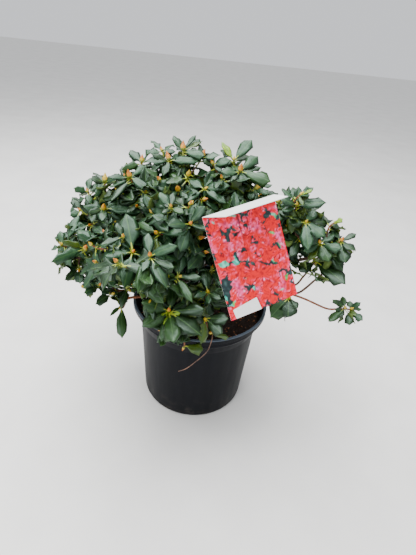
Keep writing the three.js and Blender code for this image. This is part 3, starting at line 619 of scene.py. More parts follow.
class Carrier:
    # points, edges between them and what a tree reads at each point: lengths come in millimetres
    def __init__(self, makeTree, sharp=None):
        self.makeTree, self.sharp = makeTree, sharp
        self.points, self.edges, self.fields = [], [], {}

    def put(self, points, **fields):
        self.points.extend(np.asarray(points) * mm)
        for name, values in fields.items():
            self.fields.setdefault(name, []).extend(values)

    def addLimb(self, line, girths, tint=0):
        first = len(self.points)
        self.edges.extend((first + step, first + step + 1) for step in range(len(line) - 1))
        self.put(line, girth=girths * mm, tint=[tint] * len(line))

    def addCopy(self, foot, along, upper, size, tint):
        # the shape grows along its own Y, which is turned to along, and faces its own Z, turned to upper
        along = unit(along)
        side = unit(np.cross(along, upper))
        turn = Matrix(np.array((side, along, np.cross(side, along))).T.tolist())
        self.put([foot], turn=[turn.to_euler()], size=[np.array(size) * mm], tint=[tint])

    def build(self, name, finishes, slot, nodes=(), **values):
        source = meshObject(name, self.points, [], self.edges)
        for field, given in self.fields.items():
            setAttribute(source, field, given)
        grow(name, source, self.makeTree(name + "Tree", finishes), slot, nodes, self.sharp, **values)


barkFinish, shootFinish, bareBarkFinish, greenStemFinish = (
    makeFinish(name, colours, gloss, grain, (1, 1, stretch), relief)
    for name, colours, gloss, grain, stretch, relief in (
        ("oldBark", [(62, 44, 34), (104, 80, 62)], (0.8, 0.95), 260, 0.3, (0.6, 900, 0.0006)),
        ("youngBark", [(92, 50, 28), (138, 82, 48)], (0.55, 0.7), 200, 0.3, (0.25, 700, 0.0004)),
        ("bareBark", [(60, 37, 26), (136, 100, 80)], (0.55, 0.7), 85, 0.6, (0.25, 700, 0.0004)),
        ("greenStem", [(112, 128, 48), (150, 158, 66)], (0.45, 0.6), 160, 1, (0.1, 500, 0.0003))))


def makeLimbs():
    pieces = Carrier(limbTree, limbs["sharp"])
    foot, fork = np.array(trunk["foot"], float), np.array(trunk["fork"], float)
    up, down = (bend * (fork[2] - foot[2]) for bend in trunk["bends"])
    limbLines["trunk"] = bezierLine(foot, foot + (0, 0, up), fork + (*trunk["aside"], -down), fork)
    line, along, girths = tapered(limbLines["trunk"], limbs["trunkStep"], trunk["radii"])
    pieces.addLimb(line, girths * (1 + trunk["flare"] * np.exp(-along / trunk["rise"])))
    for mass in masses:
        name, radii = mass["name"], mass["radii"]
        limbLines[name] = boughLine(mass)
        line, along, girths = tapered(limbLines[name], limbs["boughStep"], radii, 0.8)
        girths *= 1 + limbs["knot"] * np.sin(along * len(line) * limbs["knotTurn"] + mass["reach"]) ** 8
        young = int(len(line) * limbs["thinYoung" if radii[0] < limbs["thin"] else "young"])
        pieces.addLimb(line[:young + 1], girths[:young + 1])
        pieces.addLimb(line[young:], girths[young:], 1 if radii[0] < limbs["thick"] else 0)
    nodes = ["trunk", *("bough_" + mass["name"] for mass in masses)]
    pieces.build("trunkAndBoughs", [(barkFinish,), (shootFinish, None, 1)], "bark", nodes,
                 Sides=14, Relief=0.34, Grain=240.0, Seed=4)


makeLimbs()
print("trunk and boughs made")

# Leaves: the blade's sizes as shares of its length, its swell and its point by a span, and each form's bends
blade = {"width": 0.50, "thickness": 0.011, "stalk": 0.13, "stalkGirth": 0.022, "groove": 0.006, "wave": 0.11,
         "waves": 12.5, "ripple": 0.07, "ripples": 19, "rib": 0.011, "keel": 0.012, "arch": 0.03,
         "shorter": 0.06, "lower": 1.04, "shoulder": 0.55, "swell": (0.66, 0.12), "drawnFrom": 0.72,
         "drawn": (0.3, 0.3), "flattens": 0.08, "stations": (0.0, 0.13, 0.24, 0.43, 0.63, 0.81, 0.94)}
leafTraits = ("droop", "fold", "roll", "twist", "breadth", "widest", "point")
leafForms = {name: dict(zip(leafTraits, traits)) for name, *traits in (
    ("flatLeaves", 0.12, 0.14, 0.26, 5, 0.98, 0.57, 0.6),
    ("archedLeaves", 0.40, 0.14, 0.30, -9, 0.98, 0.54, 1.0),
    ("foldedLeaves", -0.06, 0.40, 0.06, 6, 0.86, 0.54, 1.0),
    ("twistedLeaves", 0.26, 0.16, 0.34, 38, 0.98, 0.56, 1.0),
    ("broadLeaves", 0.2, 0.08, 0.36, -14, 1.16, 0.61, 0.3))}


def leafFinish(name, colours, gloss=(0.34, 0.46), coat=0.07):
    return makeFinish(name, colours, gloss, 120, None, (0.35, 380, 0.0005), Coat_Weight=coat,
                      Coat_Roughness=0.26, Specular_IOR_Level=0.5, Specular_Tint=(0.72, 1.0, 0.86, 1.0))


bladeFinishes = [leafFinish(name, colours, coat=coat) for name, colours, coat in (
    ("leafDark", [(18, 37, 14), (28, 49, 19)], 0.07),
    ("leafBlueGreen", [(22, 46, 25), (33, 61, 34)], 0.07),
    ("leafGreen", [(26, 52, 16), (39, 68, 22)], 0.07),
    ("leafFresh", [(48, 66, 12), (68, 86, 18)], 0.07),
    ("leafGreyGreen", [(27, 54, 31), (42, 73, 42)], 0.07),
    ("leafYoung", [(104, 138, 30), (138, 168, 44)], 0.05))]
underFinish = leafFinish("leafUnderside", [(72, 92, 36), (96, 114, 50)], (0.55, 0.65), 0.0)
ribFinish = leafFinish("leafRib", [(46, 76, 36), (62, 92, 44)])
stalkFinish = leafFinish("leafStalk", [(148, 162, 40), (174, 184, 58)])


def leafTip(form):
    # how far ahead of its foot and below it the tip lies
    return 1 - blade["shorter"] * abs(form["droop"]), form["droop"] * blade["lower"]


def bladeHalf(along, onBlade, form):
    # broad to near its end, then drawn in to a point, with a margin that wanders
    swell = sin(pi * onBlade ** (log(0.5) / log(form["widest"])))
    nearEnd = max(0.0, (onBlade - blade["drawnFrom"]) / (1 - blade["drawnFrom"]))
    drawn = 1 - ranged(blade["drawn"], form["point"]) * nearEnd ** 1.5
    ripple = 1 + blade["ripple"] * sin(along * blade["ripples"] + form["twist"])
    half = blade["width"] / 2 * form["breadth"] * swell ** ranged(blade["swell"], form["point"])
    return max(half * drawn * ripple, blade["stalkGirth"])


def leafShape(name, form):
    # rings of nine points round the blade: edge, blade, rib left and right, blade, edge, and three below
    points, rings = [], []
    ahead, below = leafTip(form)
    for along in blade["stations"]:
        onBlade = max(0.0, (along - blade["stalk"]) / (1 - blade["stalk"]))
        half = bladeHalf(along, onBlade, form)
        flat = min(1.0, (half - blade["stalkGirth"]) / blade["flattens"])
        rib, shoulder = min(half / 2, blade["rib"]), half * blade["shoulder"]
        above, groove = blade["stalkGirth"] * (1 - flat), blade["groove"] * flat
        lowest = -above - blade["thickness"] * flat
        section = [(-half, 0), (-shoulder, above), (-rib, above - groove), (rib, above - groove),
                   (shoulder, above), (half, 0), (shoulder, lowest), (0, lowest - blade["keel"] * flat),
                   (-shoulder, lowest)]
        turn = radians(form["twist"]) * onBlade
        rings.append(range(len(points), len(points) + len(section)))
        for across, height in section:
            share = abs(across) / max(half, 1e-6) * flat
            height += flat * (abs(across) * form["fold"] - half * form["roll"] * share ** 3)
            wave = sin(along * blade["waves"] + (2.4 if across > 0 else 0.2) + form["twist"])
            height += blade["wave"] * flat * share ** 1.5 * wave
            height -= form["droop"] * along ** 2 - blade["arch"] * sin(pi * along)
            points.append((across * cos(turn), along * ahead, height + across * sin(turn)))
    tip = len(points)
    points.append((0, ahead, -below))
    sides = [0, 0, 2, 0, 0, 1, 1, 1, 1]
    faces, parts = [tuple(rings[0])], [3]
    for step, (ring, above) in enumerate(zip(rings, rings[1:])):
        for corner, part in enumerate(sides):
            after = (corner + 1) % len(sides)
            face = (ring[corner], above[corner], above[after], ring[after])
            # both sides are split along the same diagonal, so that they never cross
            faces.append(face if corner < 5 else (*face[1:], face[0]))
            parts.append(3 if step == 0 or (step == 1 and part == 2) else part)
    last = rings[-1]
    faces += [(corner, tip, after) for corner, after in zip(last, (*last[1:], last[0]))]
    return shapeOf(name, points, faces, parts + sides)


def shapeOf(name, points, faces, parts):
    shape = meshObject(name, points, faces)
    turnFacesOut(shape)
    setAttribute(shape, "part", parts, "FACE")
    smooth(shape)
    return shape


bud = {"size": (11.0, 3.4), "flowerSize": (19.0, 5.4), "flowering": 0.45, "lowFlowering": 0.15,
       "flowerHeight": 430, "sides": 6, "bands": (2, 3, 3),
       "profile": [(0, 0.4), (0.1, 0.8), (0.28, 1.0), (0.32, 0.9), (0.5, 0.86), (0.54, 0.74), (0.74, 0.46),
                   (0.9, 0.18)]}
budGreen, budYellow, budOrange, budRusty = (
    makeFinish(name, colours, (0.4, 0.5), 300, None, (0.3, 900, 0.001)) for name, colours in (
        ("budGreen", [(112, 126, 40), (148, 158, 58)]), ("budYellow", [(166, 138, 22), (196, 166, 40)]),
        ("budOrange", [(184, 120, 12), (210, 150, 30)]), ("budRusty", [(166, 90, 18), (200, 120, 32)])))


def budShape(name):
    # a plump pointed bud whose scales overlap in three bands
    sides, points = bud["sides"], []
    for step, (height, girth) in enumerate(bud["profile"]):
        for side in range(sides):
            angle = (side + 0.5 * (step % 2)) / sides * 2 * pi
            points.append((girth * cos(angle), height, girth * sin(angle)))
    rings = [range(first, first + sides) for first in range(0, len(points), sides)] + [[len(points)]]
    faces = [rings[0][::-1], *joinRings(rings, sides)]
    parts = [0] + [part for part, steps in enumerate(bud["bands"]) for _ in range(steps * sides)]
    return shapeOf(name, [*points, (0, 1, 0)], faces, parts)


# The label's place, needed here so that leaves keep off its face
label = {
    "width": 140.0, "length": 189.0, "thickness": 0.8, "flap": 67.0, "flapDrop": 4.0, "flapTaper": 13.5,
    "fold": (51.6, -84, 512), "turn": 23.3, "lean": 24.7, "roll": 13.1, "bow": 1.6, "bowRise": 60,
    "bowBack": 0.6, "step": 1.25, "flapStep": 3.0, "bend": [(0, -2.5, 0), (0, 0, 1.4), (6, -0.36, 0)],
    "tongueWidth": 14.0, "tongueDrop": 34.0, "hookRadius": 3.55, "hookOut": 0.55, "hookTail": (2, 5, 8, 12),
    "cut": (-44, -12, 0.65),
}
cardPlace = Matrix.Translation(Vector(label["fold"]))
for angle, axis in ((label["turn"], "Z"), (90 - label["lean"], "X"), (label["roll"], "Z")):
    cardPlace = cardPlace @ Matrix.Rotation(radians(angle), 4, axis)
cardTurn, cardSpot = np.array(cardPlace.to_3x3()), np.array(cardPlace.translation)
# How near leaves may come, in millimetres: limits across, up and out from the card, the pot's lip as radii
# and height, the compost, the ground, and past the solid's box below and above
clearances = {"card": (75, -195, 7, -5, 74), "lip": (122, 152, 260), "compost": (132, 4), "ground": 4,
              "box": (18, 16)}


def isFree(points):
    # whether points keep off the pot, the compost, the label and the ground, and inside the plant's box
    across, up, out = ((points - cardSpot) @ cardTurn).T
    side, lowest, highest, back, front = clearances["card"]
    nearCard = (abs(across) < side) & (up > lowest) & (up < highest) & (out > back) & (out < front)
    radius, height = np.hypot(points[:, 0], points[:, 1]), points[:, 2]
    inner, outer, lipTop = clearances["lip"]
    nearPot = (radius < outer) & (radius > inner) & (height < lipTop)
    low = (radius <= clearances["compost"][0]) & (height < soilTop + clearances["compost"][1])
    below, past = clearances["box"]
    outside = (points < np.array(cadLow) / mm - below) | (points > np.array(cadHigh) / mm + past)
    return not (nearCard | nearPot | low | outside.any(axis=1) | (height < clearances["ground"])).any()


def leafProbe(foot, along, upper, length):
    # spots down the middle of a leaf, and two near each margin
    side = unit(np.cross(along, upper)) * length * 0.2
    spots = [foot + along * length * share for share in (0.3, 0.6, 0.85, 1.0)]
    return np.array(spots + [spots[1] + side, spots[1] - side, spots[2] + side * 0.8, spots[2] - side * 0.8])


# Lengths in millimetres, angles in degrees; a pair is a start and the length of a span
foliage = {"seed": 7919, "spacing": 39.0, "shell": (0.92, 0.16), "seenApart": 33, "budRoom": 4.5,
           "tipRoom": 10, "facingBack": 0.8, "innerLeaves": 6, "innerPitch": (60, 40), "narrowest": 0.62,
           "seenForms": ("flatLeaves", "archedLeaves", "twistedLeaves", "broadLeaves"),
           "tries": ((0, 0, 1), (0.25, 10, 0.95), (-0.25, -10, 0.92), (0.5, 22, 0.85), (-0.5, 26, 0.8)),
           "innerTints": (0, 3, 0, 2), "highTints": (0, 1, 1, 4, 0, 1, 2, 4), "tintHeight": 350,
           "lowTints": (2, 3, 0, 2, 1, 3, 2, 0), "flattened": 0.85, "hidden": 0.8}
rosette = {"leaves": 9, "pitch": (34, 66), "stray": 16, "length": (0.62, 0.38), "uneven": (0.9, 0.2),
           "below": (1.5, 11), "young": 0.3, "youngForms": ("foldedLeaves", "flatLeaves")}
olderLeaves = {"first": 18, "apart": 6, "stray": 4, "lowest": 0.85, "pitch": (108, -20),
               "length": (0.84, 0.2), "tints": (3, 0, 2, 3)}
twig = {"step": 3.2, "end": 2.4, "stem": 0.92, "hub": (0.5, 9), "fork": 0.45, "bends": (0.4, 0.3),
        "shootBends": (0.3, 0.4), "plain": (2.2, -0.7), "arched": (2.5, -0.6), "green": 0.4,
        "budSize": (0.85, 0.3)}
sprays = {name: Carrier(sprayTree) for name in leafForms}
buds, twigs = Carrier(sprayTree), Carrier(limbTree, limbs["sharp"])
seenView = {"ends": [], "widths": []}


def aroundAxis(axis, angle):
    # a unit vector square to the axis, at an angle round it
    first = unit(np.cross(axis, (0.31, 0.2, 0.93) if abs(axis[2]) < 0.9 else (1.0, 0, 0)))
    return first * cos(angle) + np.cross(axis, first) * sin(angle)


def markSeenView():
    # the seen leaves as strips of the picture, and the seen buds, so that nothing grows in front of them
    pixels, deep = pixelsOf(np.array(seenView["ends"]))
    widths = np.array(seenView["widths"])
    seenView["leaves"] = pixels[:, 0], pixels[:, 1] - pixels[:, 0], widths / 2, deep.min(axis=1)
    middles = [seen["spot"] + seen["axis"] * bud["size"][0] * 0.6 for seen in seenShoots]
    seenView["buds"] = pixelsOf(np.array(middles))


def inOpening(pixels):
    return any((np.hypot(*(pixels - (across, down)).T) < radius).any() for across, down, radius in openings)


def spoilsView(points):
    pixels, deep = pixelsOf(points)
    budPixels, budDeep = seenView["buds"]
    onBud = norm(pixels[:, None] - budPixels, axis=2) < foliage["budRoom"]
    if inOpening(pixels) or (onBud & (deep[:, None] < budDeep)).any():
        return True
    starts, spans, halves, near = seenView["leaves"]
    gap = pixels[:, None] - starts
    share = np.clip((gap * spans).sum(axis=2) / (spans ** 2).sum(axis=1), 0, 1)
    inside = norm(gap - share[..., None] * spans, axis=2) < halves
    return (inside & (deep[:, None] < near + 2)).sum() > 1


# lower leaves draw greener and olive tints, upper ones more blue-green and grey-green: partly leaf colour,
# partly painted shade on the lower leaves
def pickTint(random, height):
    return pick(random, foliage["highTints" if height > foliage["tintHeight"] else "lowTints"])


def growSeenLeaf(foot, leaf, tint, random):
    # from its shoot to the sight line through its tip, bent as its form is
    across, down, breadth, lean, tint = (*leaf, tint)[:5]
    name = pick(random, foliage["seenForms"])
    line = unit(sightLine(across, down))
    far = (foot - eye) @ line
    nearest = eye + line * far
    shown = norm(nearest - foot)
    length = shown * (1 + abs(lean))
    tip = nearest - line * copysign(sqrt(length ** 2 - shown ** 2), lean)
    reach = unit(tip - foot)
    upper = unit(np.array((0, 0, 0.6)) - line * 0.6)
    upper = unit(upper - reach * (upper @ reach))
    ahead, below = leafTip(leafForms[name])
    below *= foliage["flattened"]
    bend = atan2(below, ahead)
    along = reach * cos(bend) + upper * sin(bend)
    size = length / hypot(ahead, below)
    # a blade that is turned from the camera is made as much broader as it would look narrower
    side = np.cross(reach, upper)
    facing = max(foliage["narrowest"], norm(side - line * (side @ line)))
    wide = breadth * far / viewpoint["focal"] / (blade["width"] * leafForms[name]["breadth"]) / facing
    size = wide, size, size * foliage["flattened"]
    sprays[name].addCopy(foot, along, upper - reach * sin(bend), size, tint)
    seenView["ends"].append((foot, tip))
    seenView["widths"].append(breadth * foliage["hidden"])


def growLeaf(foot, axis, angle, pitch, length, tint, random, forms=None, behind=False):
    # tried at a few turns, lifts and lengths, like the solid's leaves
    name = pick(random, forms or list(sprays))
    for twist, lift, shrink in foliage["tries"]:
        raised = radians(pitch - lift)
        radial = aroundAxis(axis, angle + twist)
        along = axis * cos(raised) + radial * sin(raised)
        along[2] -= 0.10 * max(0.0, sin(raised))
        along = unit(along)
        upper = unit(axis * 0.75 + np.array((0, 0, 0.45)) - radial * 0.25 * cos(raised))
        if abs(upper @ along) > 0.96:
            upper = -radial
        if behind and along @ viewAhead < 0.1:
            continue
        size = length * shrink
        probe = leafProbe(foot, along, upper, size)
        if isFree(probe) and not spoilsView(probe):
            sprays[name].addCopy(foot, along, upper, (size, size, size), tint)
            return


def growRosette(tip, axis, random, leaf, tint, count, behind):
    # a star of leaves round a bud, the youngest raised and the oldest spread wide
    count = count or rosette["leaves"] + int(random() * 3) - 1
    start = random() * 2 * pi
    for index in range(count):
        age = index / max(count - 1, 1)
        pitch = ranged(rosette["pitch"], age ** 0.7) + (random() - 0.5) * rosette["stray"]
        length = leaf * ranged(rosette["length"], age ** 0.6) * ranged(rosette["uneven"], random())
        forms = rosette["youngForms"] if age < rosette["young"] else None
        growLeaf(tip - axis * ranged(rosette["below"], age), axis, start + index * goldenAngle, pitch, length,
                 tint, random, forms, behind)


def growOlderLeaves(line, random, leaf, tint):
    # last year's leaves, lower on the twig and hanging wider
    length = lineSteps(line).sum()
    start = random() * 2 * pi
    for index, shade in enumerate((tint, *olderLeaves["tints"])):
        back = olderLeaves["first"] + index * olderLeaves["apart"] + random() * olderLeaves["stray"]
        if back > length * olderLeaves["lowest"]:
            break
        foot, tangent = alongLine(line, 1 - back / length)
        growLeaf(foot, tangent, start + index * goldenAngle, ranged(olderLeaves["pitch"], random()),
                 leaf * ranged(olderLeaves["length"], random()), shade, random)


def shootAxis(tip, mass):
    return unit(unit(tip - mass["middle"]) * crown["outwards"] + np.array((0, 0, mass["lift"])))


def massTips(mass, ownShoots, random):
    # the source's rule: places spread evenly over the side of the mass that faces open air
    shell = max(mass["reach"] - mass["leaf"] * crown["leafRoom"], mass["reach"] * crown["smallest"])
    wanted = mass["tips"]
    if wanted is None:
        wanted = max(crown["fewest"], round(4 * pi * shell ** 2 / foliage["spacing"] ** 2))
    backwards = unit(limbLines[mass["name"]][-1] - mass["middle"])
    turn = random() * 2 * pi
    found = []
    for index in range(wanted):
        height = 1 - 2 * (index + 0.5) / wanted
        ring, angle = sqrt(1 - height ** 2), turn + index * goldenAngle
        outwards = np.array((ring * cos(angle), ring * sin(angle), height))
        tip = mass["middle"] + outwards * shell * ranged(foliage["shell"], random())
        nearSeen = any(norm(tip - seen["spot"]) < foliage["seenApart"] for seen in seenShoots)
        if (roomAt(tip, mass) > foliage["tipRoom"] and outwards @ backwards < foliage["facingBack"]
                and unit(tip - crown["heart"]) @ outwards > crown["facing"]
                and not nearSeen and not inOpening(pixelsOf(tip[None])[0])):
            found.append((tip, shootAxis(tip, mass), {}))
    return found + [(seen["spot"], seen["axis"], seen) for seen in ownShoots]


def gather(found):
    # twig ends in groups of up to three round a shared fork
    waiting, groups = list(found), []
    while waiting:
        first = waiting.pop(0)
        waiting.sort(key=lambda other: norm(other[0] - first[0]))
        groups.append([first, *waiting[:2]])
        waiting = waiting[2:]
    return groups


def growMass(mass, index, ownShoots):
    random = randomSource(foliage["seed"] * (index + 1))
    end, heading = alongLine(limbLines[mass["name"]], 1)
    depth, nearest = twig["hub"]
    hub = end + heading * max(norm(end - mass["middle"]) * depth, nearest)
    stem, leaf = mass["radii"][1] * twig["stem"], mass["leaf"]
    line = resampled(np.array((end - heading * 4, hub, hub + heading * stem)), 2)
    left = norm(line[-1] - line, axis=1)
    twigs.addLimb(line, mass["radii"][1] * np.sqrt(np.clip(left / (2 * stem), 0.01, 1)))
    for group in gather(massTips(mass, ownShoots, random)):
        middle = sum(tip for tip, _, _ in group) / len(group)
        fork = hub + (middle - hub) * twig["fork"]
        leaving, reach = unit(middle - hub), norm(fork - hub)
        outOfHub = unit(heading * 0.5 + unit(fork - hub))
        near, far = twig["bends"]
        line = bezierLine(hub, hub + outOfHub * reach * near, fork - leaving * reach * far, fork)
        line = resampled(line, twig["step"])
        twigs.addLimb(line, np.linspace(stem * 0.85, twig["end"], len(line)))
        for inner in range(0 if mass["leaves"] else foliage["innerLeaves"]):
            foot, tangent = alongLine(line, 0.3 + 0.68 * inner / foliage["innerLeaves"])
            growLeaf(foot, tangent, random() * 6.28, ranged(foliage["innerPitch"], random()),
                     leaf * (0.8 + 0.2 * random()), foliage["innerTints"][inner % 4], random)
        for tip, axis, seen in group:
            growShoot(mass, fork, leaving, tip, axis, leaf, seen, random)


def growShoot(mass, fork, leaving, tip, axis, leaf, seen, random):
    # a twig from the fork, or along its own arc, with a bud at its end and leaves round it and below
    tint = pickTint(random, tip[2])
    span, (near, far) = norm(tip - fork), twig["shootBends"]
    line = bezierLine(fork, fork + leaving * span * near, tip - axis * span * far, tip)
    arched = "arc" in seen
    if arched:
        bough, share, *route = seen["arc"]
        line = splineLine([alongLine(limbLines[bough], share)[0], *(spotAt(*spot) for spot in route), tip])
    line = resampled(line, twig["step"])
    split = max(len(line) * 6 // 10, 2)
    girths = ranged(twig["arched" if arched else "plain"], np.linspace(0, 1, len(line)))
    late = 1 if random() < 1 - twig["green"] else 2
    twigs.addLimb(line[:split + 1], girths[:split + 1])
    twigs.addLimb(line[split:], girths[split:], 0 if arched else late)
    big = random() < bud["flowering" if tip[2] > bud["flowerHeight"] else "lowFlowering"]
    big = seen.get("flower", big)
    grown = ranged(twig["budSize"], random())
    length, girth = (size * grown for size in bud["flowerSize" if big else "size"])
    upper = aroundAxis(axis, random() * 6.28)
    buds.addCopy(tip - axis, axis, upper, (girth, length, girth), pick(random, range(4)))
    if "bare" not in seen:
        growRosette(tip, axis, random, leaf, tint, mass["leaves"], bool(seen.get("leaves")))
    if not mass["leaves"]:
        growOlderLeaves(line, random, leaf, tint)


def makeFoliage():
    seenBy = {mass["name"]: [] for mass in masses}
    random = randomSource(foliage["seed"])
    for seen in seenShoots:
        spot = seen["spot"]
        owner = min(masses, key=lambda mass: norm(spot - mass["middle"]) / mass["reach"])
        seenBy[owner["name"]].append(seen)
        seen["axis"] = unit(np.array(seen["axis"])) if "axis" in seen else shootAxis(spot, owner)
        for index, leaf in enumerate(seen["leaves"]):
            foot = spot - seen["axis"] * (2 + index * 0.8)
            growSeenLeaf(foot, leaf, pickTint(random, spot[2]), random)
    markSeenView()
    for index, mass in enumerate(masses):
        growMass(mass, index, seenBy[mass["name"]])
    twigs.build("twigs", [(barkFinish,), (shootFinish, None, 1), (greenStemFinish, None, 2)], "bark",
                Sides=7, Relief=0.22, Grain=420.0, Seed=9)
    first, *others = bladeFinishes
    finishes = [(first,), *((finish, 0, tint) for tint, finish in enumerate(others, 1)),
                (underFinish, 1), (ribFinish, 2), (stalkFinish, 3)]
    covered = ["foliage_" + mass["name"] for mass in masses]
    for name, form in leafForms.items():
        shape = leafShape(name + "Shape", form)
        sprays[name].build(name, finishes, "foliage", covered, Shape=shape, Seed=3)
    budParts = [(budGreen,), (budYellow, 1), (budOrange, 2), (budYellow, 2, 0), (budRusty, 2, 2),
                (budOrange, 1, 3), (budRusty, 2, 3)]
    buds.build("buds", budParts, "foliage", Shape=budShape("budShape"), Seed=5)


makeFoliage()
leafCount = sum(len(spray.points) for spray in sprays.values())
print("foliage grown:", leafCount, "leaves on", len(buds.points), "shoots")

# Pot: corners of its outline as radius, height and rounding, in millimetres
pot = {
    "outside": [(0, 0, 0), (118.5, 0, 11), (129.5, 206, 12), (135, 224, 6), (141, 232, 4), (139, 242, 3),
                (147.5, 245, 1.5), (147.5, 255, 2)],
    "inside": [(142.5, 255, 2), (139.5, 249, 3), (136, 241, 5), (126.5, 206, 12), (114.9, 3, 10), (0, 3, 0)],
    "sides": 144, "drainHoles": 6, "drainCircle": 84, "drainRadius": 7, "drillSides": 24, "drillDepth": 20,
    # dust is the colour of the dust low down; the other colour is the painted highlight along the lip's top
    "dust": (120, 110, 98), "lipHighlight": (98, 110, 124),
}


def roundedLine(corners, steps=6):
    line = []
    for index, (across, height, radius) in enumerate(corners):
        here = np.array((across, height), float)
        if radius == 0 or index in (0, len(corners) - 1):
            line.append(here)
            continue
        before, after = (np.array(corners[other][:2], float) - here for other in (index - 1, index + 1))
        half = acos(float(np.clip(unit(before) @ unit(after), -1, 1))) / 2
        reach = min(radius / tan(half), norm(before) * 0.48, norm(after) * 0.48)
        line += cornerLine(here + unit(before) * reach, here, here + unit(after) * reach, steps)
    return np.array(line)


def turnedShape(name, line, sides):
    # a shell turned round the plant's axis, closed at both ends
    points, rings = [], []
    for across, height in line:
        count = 1 if across < 1e-6 else sides
        rings.append(range(len(points), len(points) + count))
        for angle in (2 * pi * side / sides for side in range(count)):
            points.append((across * cos(angle) * mm, across * sin(angle) * mm, height * mm))
    piece = meshObject(name, points, joinRings(rings, sides))
    turnFacesOut(piece)
    return piece


def potFinish():
    # near-black moulded plastic: faint upright streaks, dust low down, and a painted blue-grey highlight
    # along the top of the lip
    material = makeFinish("potPlastic", [(5, 6, 9), (10, 11, 15)], (0.42, 0.54), 30, (1, 1, 0.12),
                          (0.12, 700, 0.0004), Specular_IOR_Level=0.1, Specular_Tint=(0.84, 0.88, 1.0, 1.0))
    tree = material.node_tree
    colour = tree.nodes["Principled BSDF"].inputs["Base Color"]
    where = makeNode(tree, "ShaderNodeTexCoord", output="Object")
    height = makeNode(tree, "ShaderNodeSeparateXYZ", {"Vector": where}, "Z")
    low = mapRange(tree, height, (0.0, 0.06), (0.5, 0.025))
    share = mapRange(tree, speckle(tree, where, 55, None, 6, 0.7), (0.5, 0.75), (0.0, 0.5))
    # the lip's top edge is painted paler blue-grey: a painted highlight
    lip = mapRange(tree, height, (0.2528, 0.2544), (0.0, 0.7))
    for amount, over in ((calculate(tree, "MULTIPLY", share, low), "dust"), (lip, "lipHighlight")):
        inputs = {0: amount, 6: colour.links[0].from_socket, 7: (*linear(pot[over]), 1)}
        tree.links.new(makeNode(tree, "ShaderNodeMix", inputs, 2, data_type="RGBA"), colour)
    return material


def makePot():
    shell = turnedShape("potTurned", np.vstack([roundedLine(pot["outside"]), roundedLine(pot["inside"])]),
                        pot["sides"])
    shell.data.materials.append(potFinish())
    drills, radius = bmesh.new(), pot["drainRadius"] * mm
    for hole in range(pot["drainHoles"]):
        angle = (hole + 0.5) / pot["drainHoles"] * 2 * pi
        spot = Vector((cos(angle), sin(angle), 0)) * pot["drainCircle"] * mm
        place = Matrix.Translation(spot) @ Matrix.Rotation(0.06, 4, "Z")
        bmesh.ops.create_cone(drills, cap_ends=True, segments=pot["drillSides"], radius1=radius,
                              radius2=radius, depth=pot["drillDepth"] * mm, matrix=place)
    drill = builtObject("drills", drills)
    drills.free()
    cut = shell.modifiers.new("drainHoles", "BOOLEAN")
    cut.operation, cut.solver, cut.object = "DIFFERENCE", "EXACT", drill
    settle("potShell", shell, ["pot"], 40)
    bpy.data.objects.remove(drill)


makePot()
print("pot made")

# Compost: a filled body with a crumbled top, and loose crumbs and bark chips on it
compost = {"outline": [(0, 3.4, 0), (114.4, 3.4, 10), (126.1, 206, 12), (132.0, soilTop - 1.5, 0)],
           "top": soilTop, "radius": 131.6, "lumps": ((5.0, 0.045, 0.3), (1.6, 0.21, 4.1)), "mound": 6.0,
           "moundWidth": 30, "edge": 8, "edgeDrop": 1.5, "sides": 120, "ringStep": 2.4,
           "loose": {"compostCrumbs": {"density": 21000.0, "size": (2.2, 2.6, 1.8), "seed": 11},
                     "barkChips": {"density": 5200.0, "size": (3.4, 6.0, 1.5), "seed": 23}}}
looseFinishes = {
    "compostCrumbs": makeFinish("compostCrumb", [(24, 14, 8), (52, 32, 19)], (0.85, 1.0), 500, None,
                                (0.8, 1500, 0.0006)),
    "barkChips": makeFinish("barkChip", [(70, 38, 24), (168, 108, 68)], (0.75, 0.95), 90, (1, 1, 0.4),
                            (0.6, 1000, 0.0006))}


def compostHeight(x, y):
    # coarse and fine lumps that die away at the edge, and a mound round the trunk
    height = sum(noise.noise(Vector((x * scale, y * scale, offset))) * relief
                 for relief, scale, offset in compost["lumps"])
    distance = hypot(x - trunk["foot"][0], y - trunk["foot"][1])
    edge = min(1.0, max(0.0, (compost["radius"] - hypot(x, y)) / compost["edge"]))
    mound = compost["mound"] * exp(-(distance / compost["moundWidth"]) ** 2)
    return height * edge + mound - (1 - edge) * compost["edgeDrop"]


def chipShape(name, size, seed):
    # the hull of a dozen random corners
    random = randomSource(seed)
    hull = bmesh.new()
    for _ in range(12):
        spot = np.array([random() - 0.5 for _ in range(3)])
        hull.verts.new(unit(spot) * np.array(size) * 0.5 * mm)
    found = bmesh.ops.convex_hull(hull, input=hull.verts)
    inner = [item for item in found["geom_interior"] if isinstance(item, bmesh.types.BMVert)]
    bmesh.ops.delete(hull, geom=inner, context="VERTS")
    shape = builtObject(name, hull)
    hull.free()
    turnFacesOut(shape)
    return shape


def makeCompost():
    rings = np.arange(compost["radius"] - 0.6, 1, -compost["ringStep"])
    line = [*roundedLine(compost["outline"]), *((ring, compost["top"]) for ring in (*rings, 0))]
    body = turnedShape("compostBody", line, compost["sides"])
    for vertex in body.data.vertices:
        if vertex.co.z > (compost["top"] - 0.5) * mm:
            vertex.co.z += compostHeight(vertex.co.x / mm, vertex.co.y / mm) * mm
    body.data.materials.append(looseFinishes["compostCrumbs"])
    smooth(body)
    mount(body, ["compost"])
    top = bmesh.new()
    top.from_mesh(body.data)
    lowest = (compost["top"] - 4) * mm
    under = [face for face in top.faces if face.normal.z < 0.4 or face.calc_center_median().z < lowest]
    bmesh.ops.delete(top, geom=under, context="FACES")
    for name, loose in compost["loose"].items():
        ground = builtObject(name + "Ground", top)
        chip = chipShape(name + "Shape", loose["size"], loose["seed"])
        grow(name, ground, scatterTree(name + "Tree", [(looseFinishes[name],)]), "compost", Shape=chip,
             Density=loose["density"], Seed=loose["seed"])
    top.free()


makeCompost()
print("compost made")

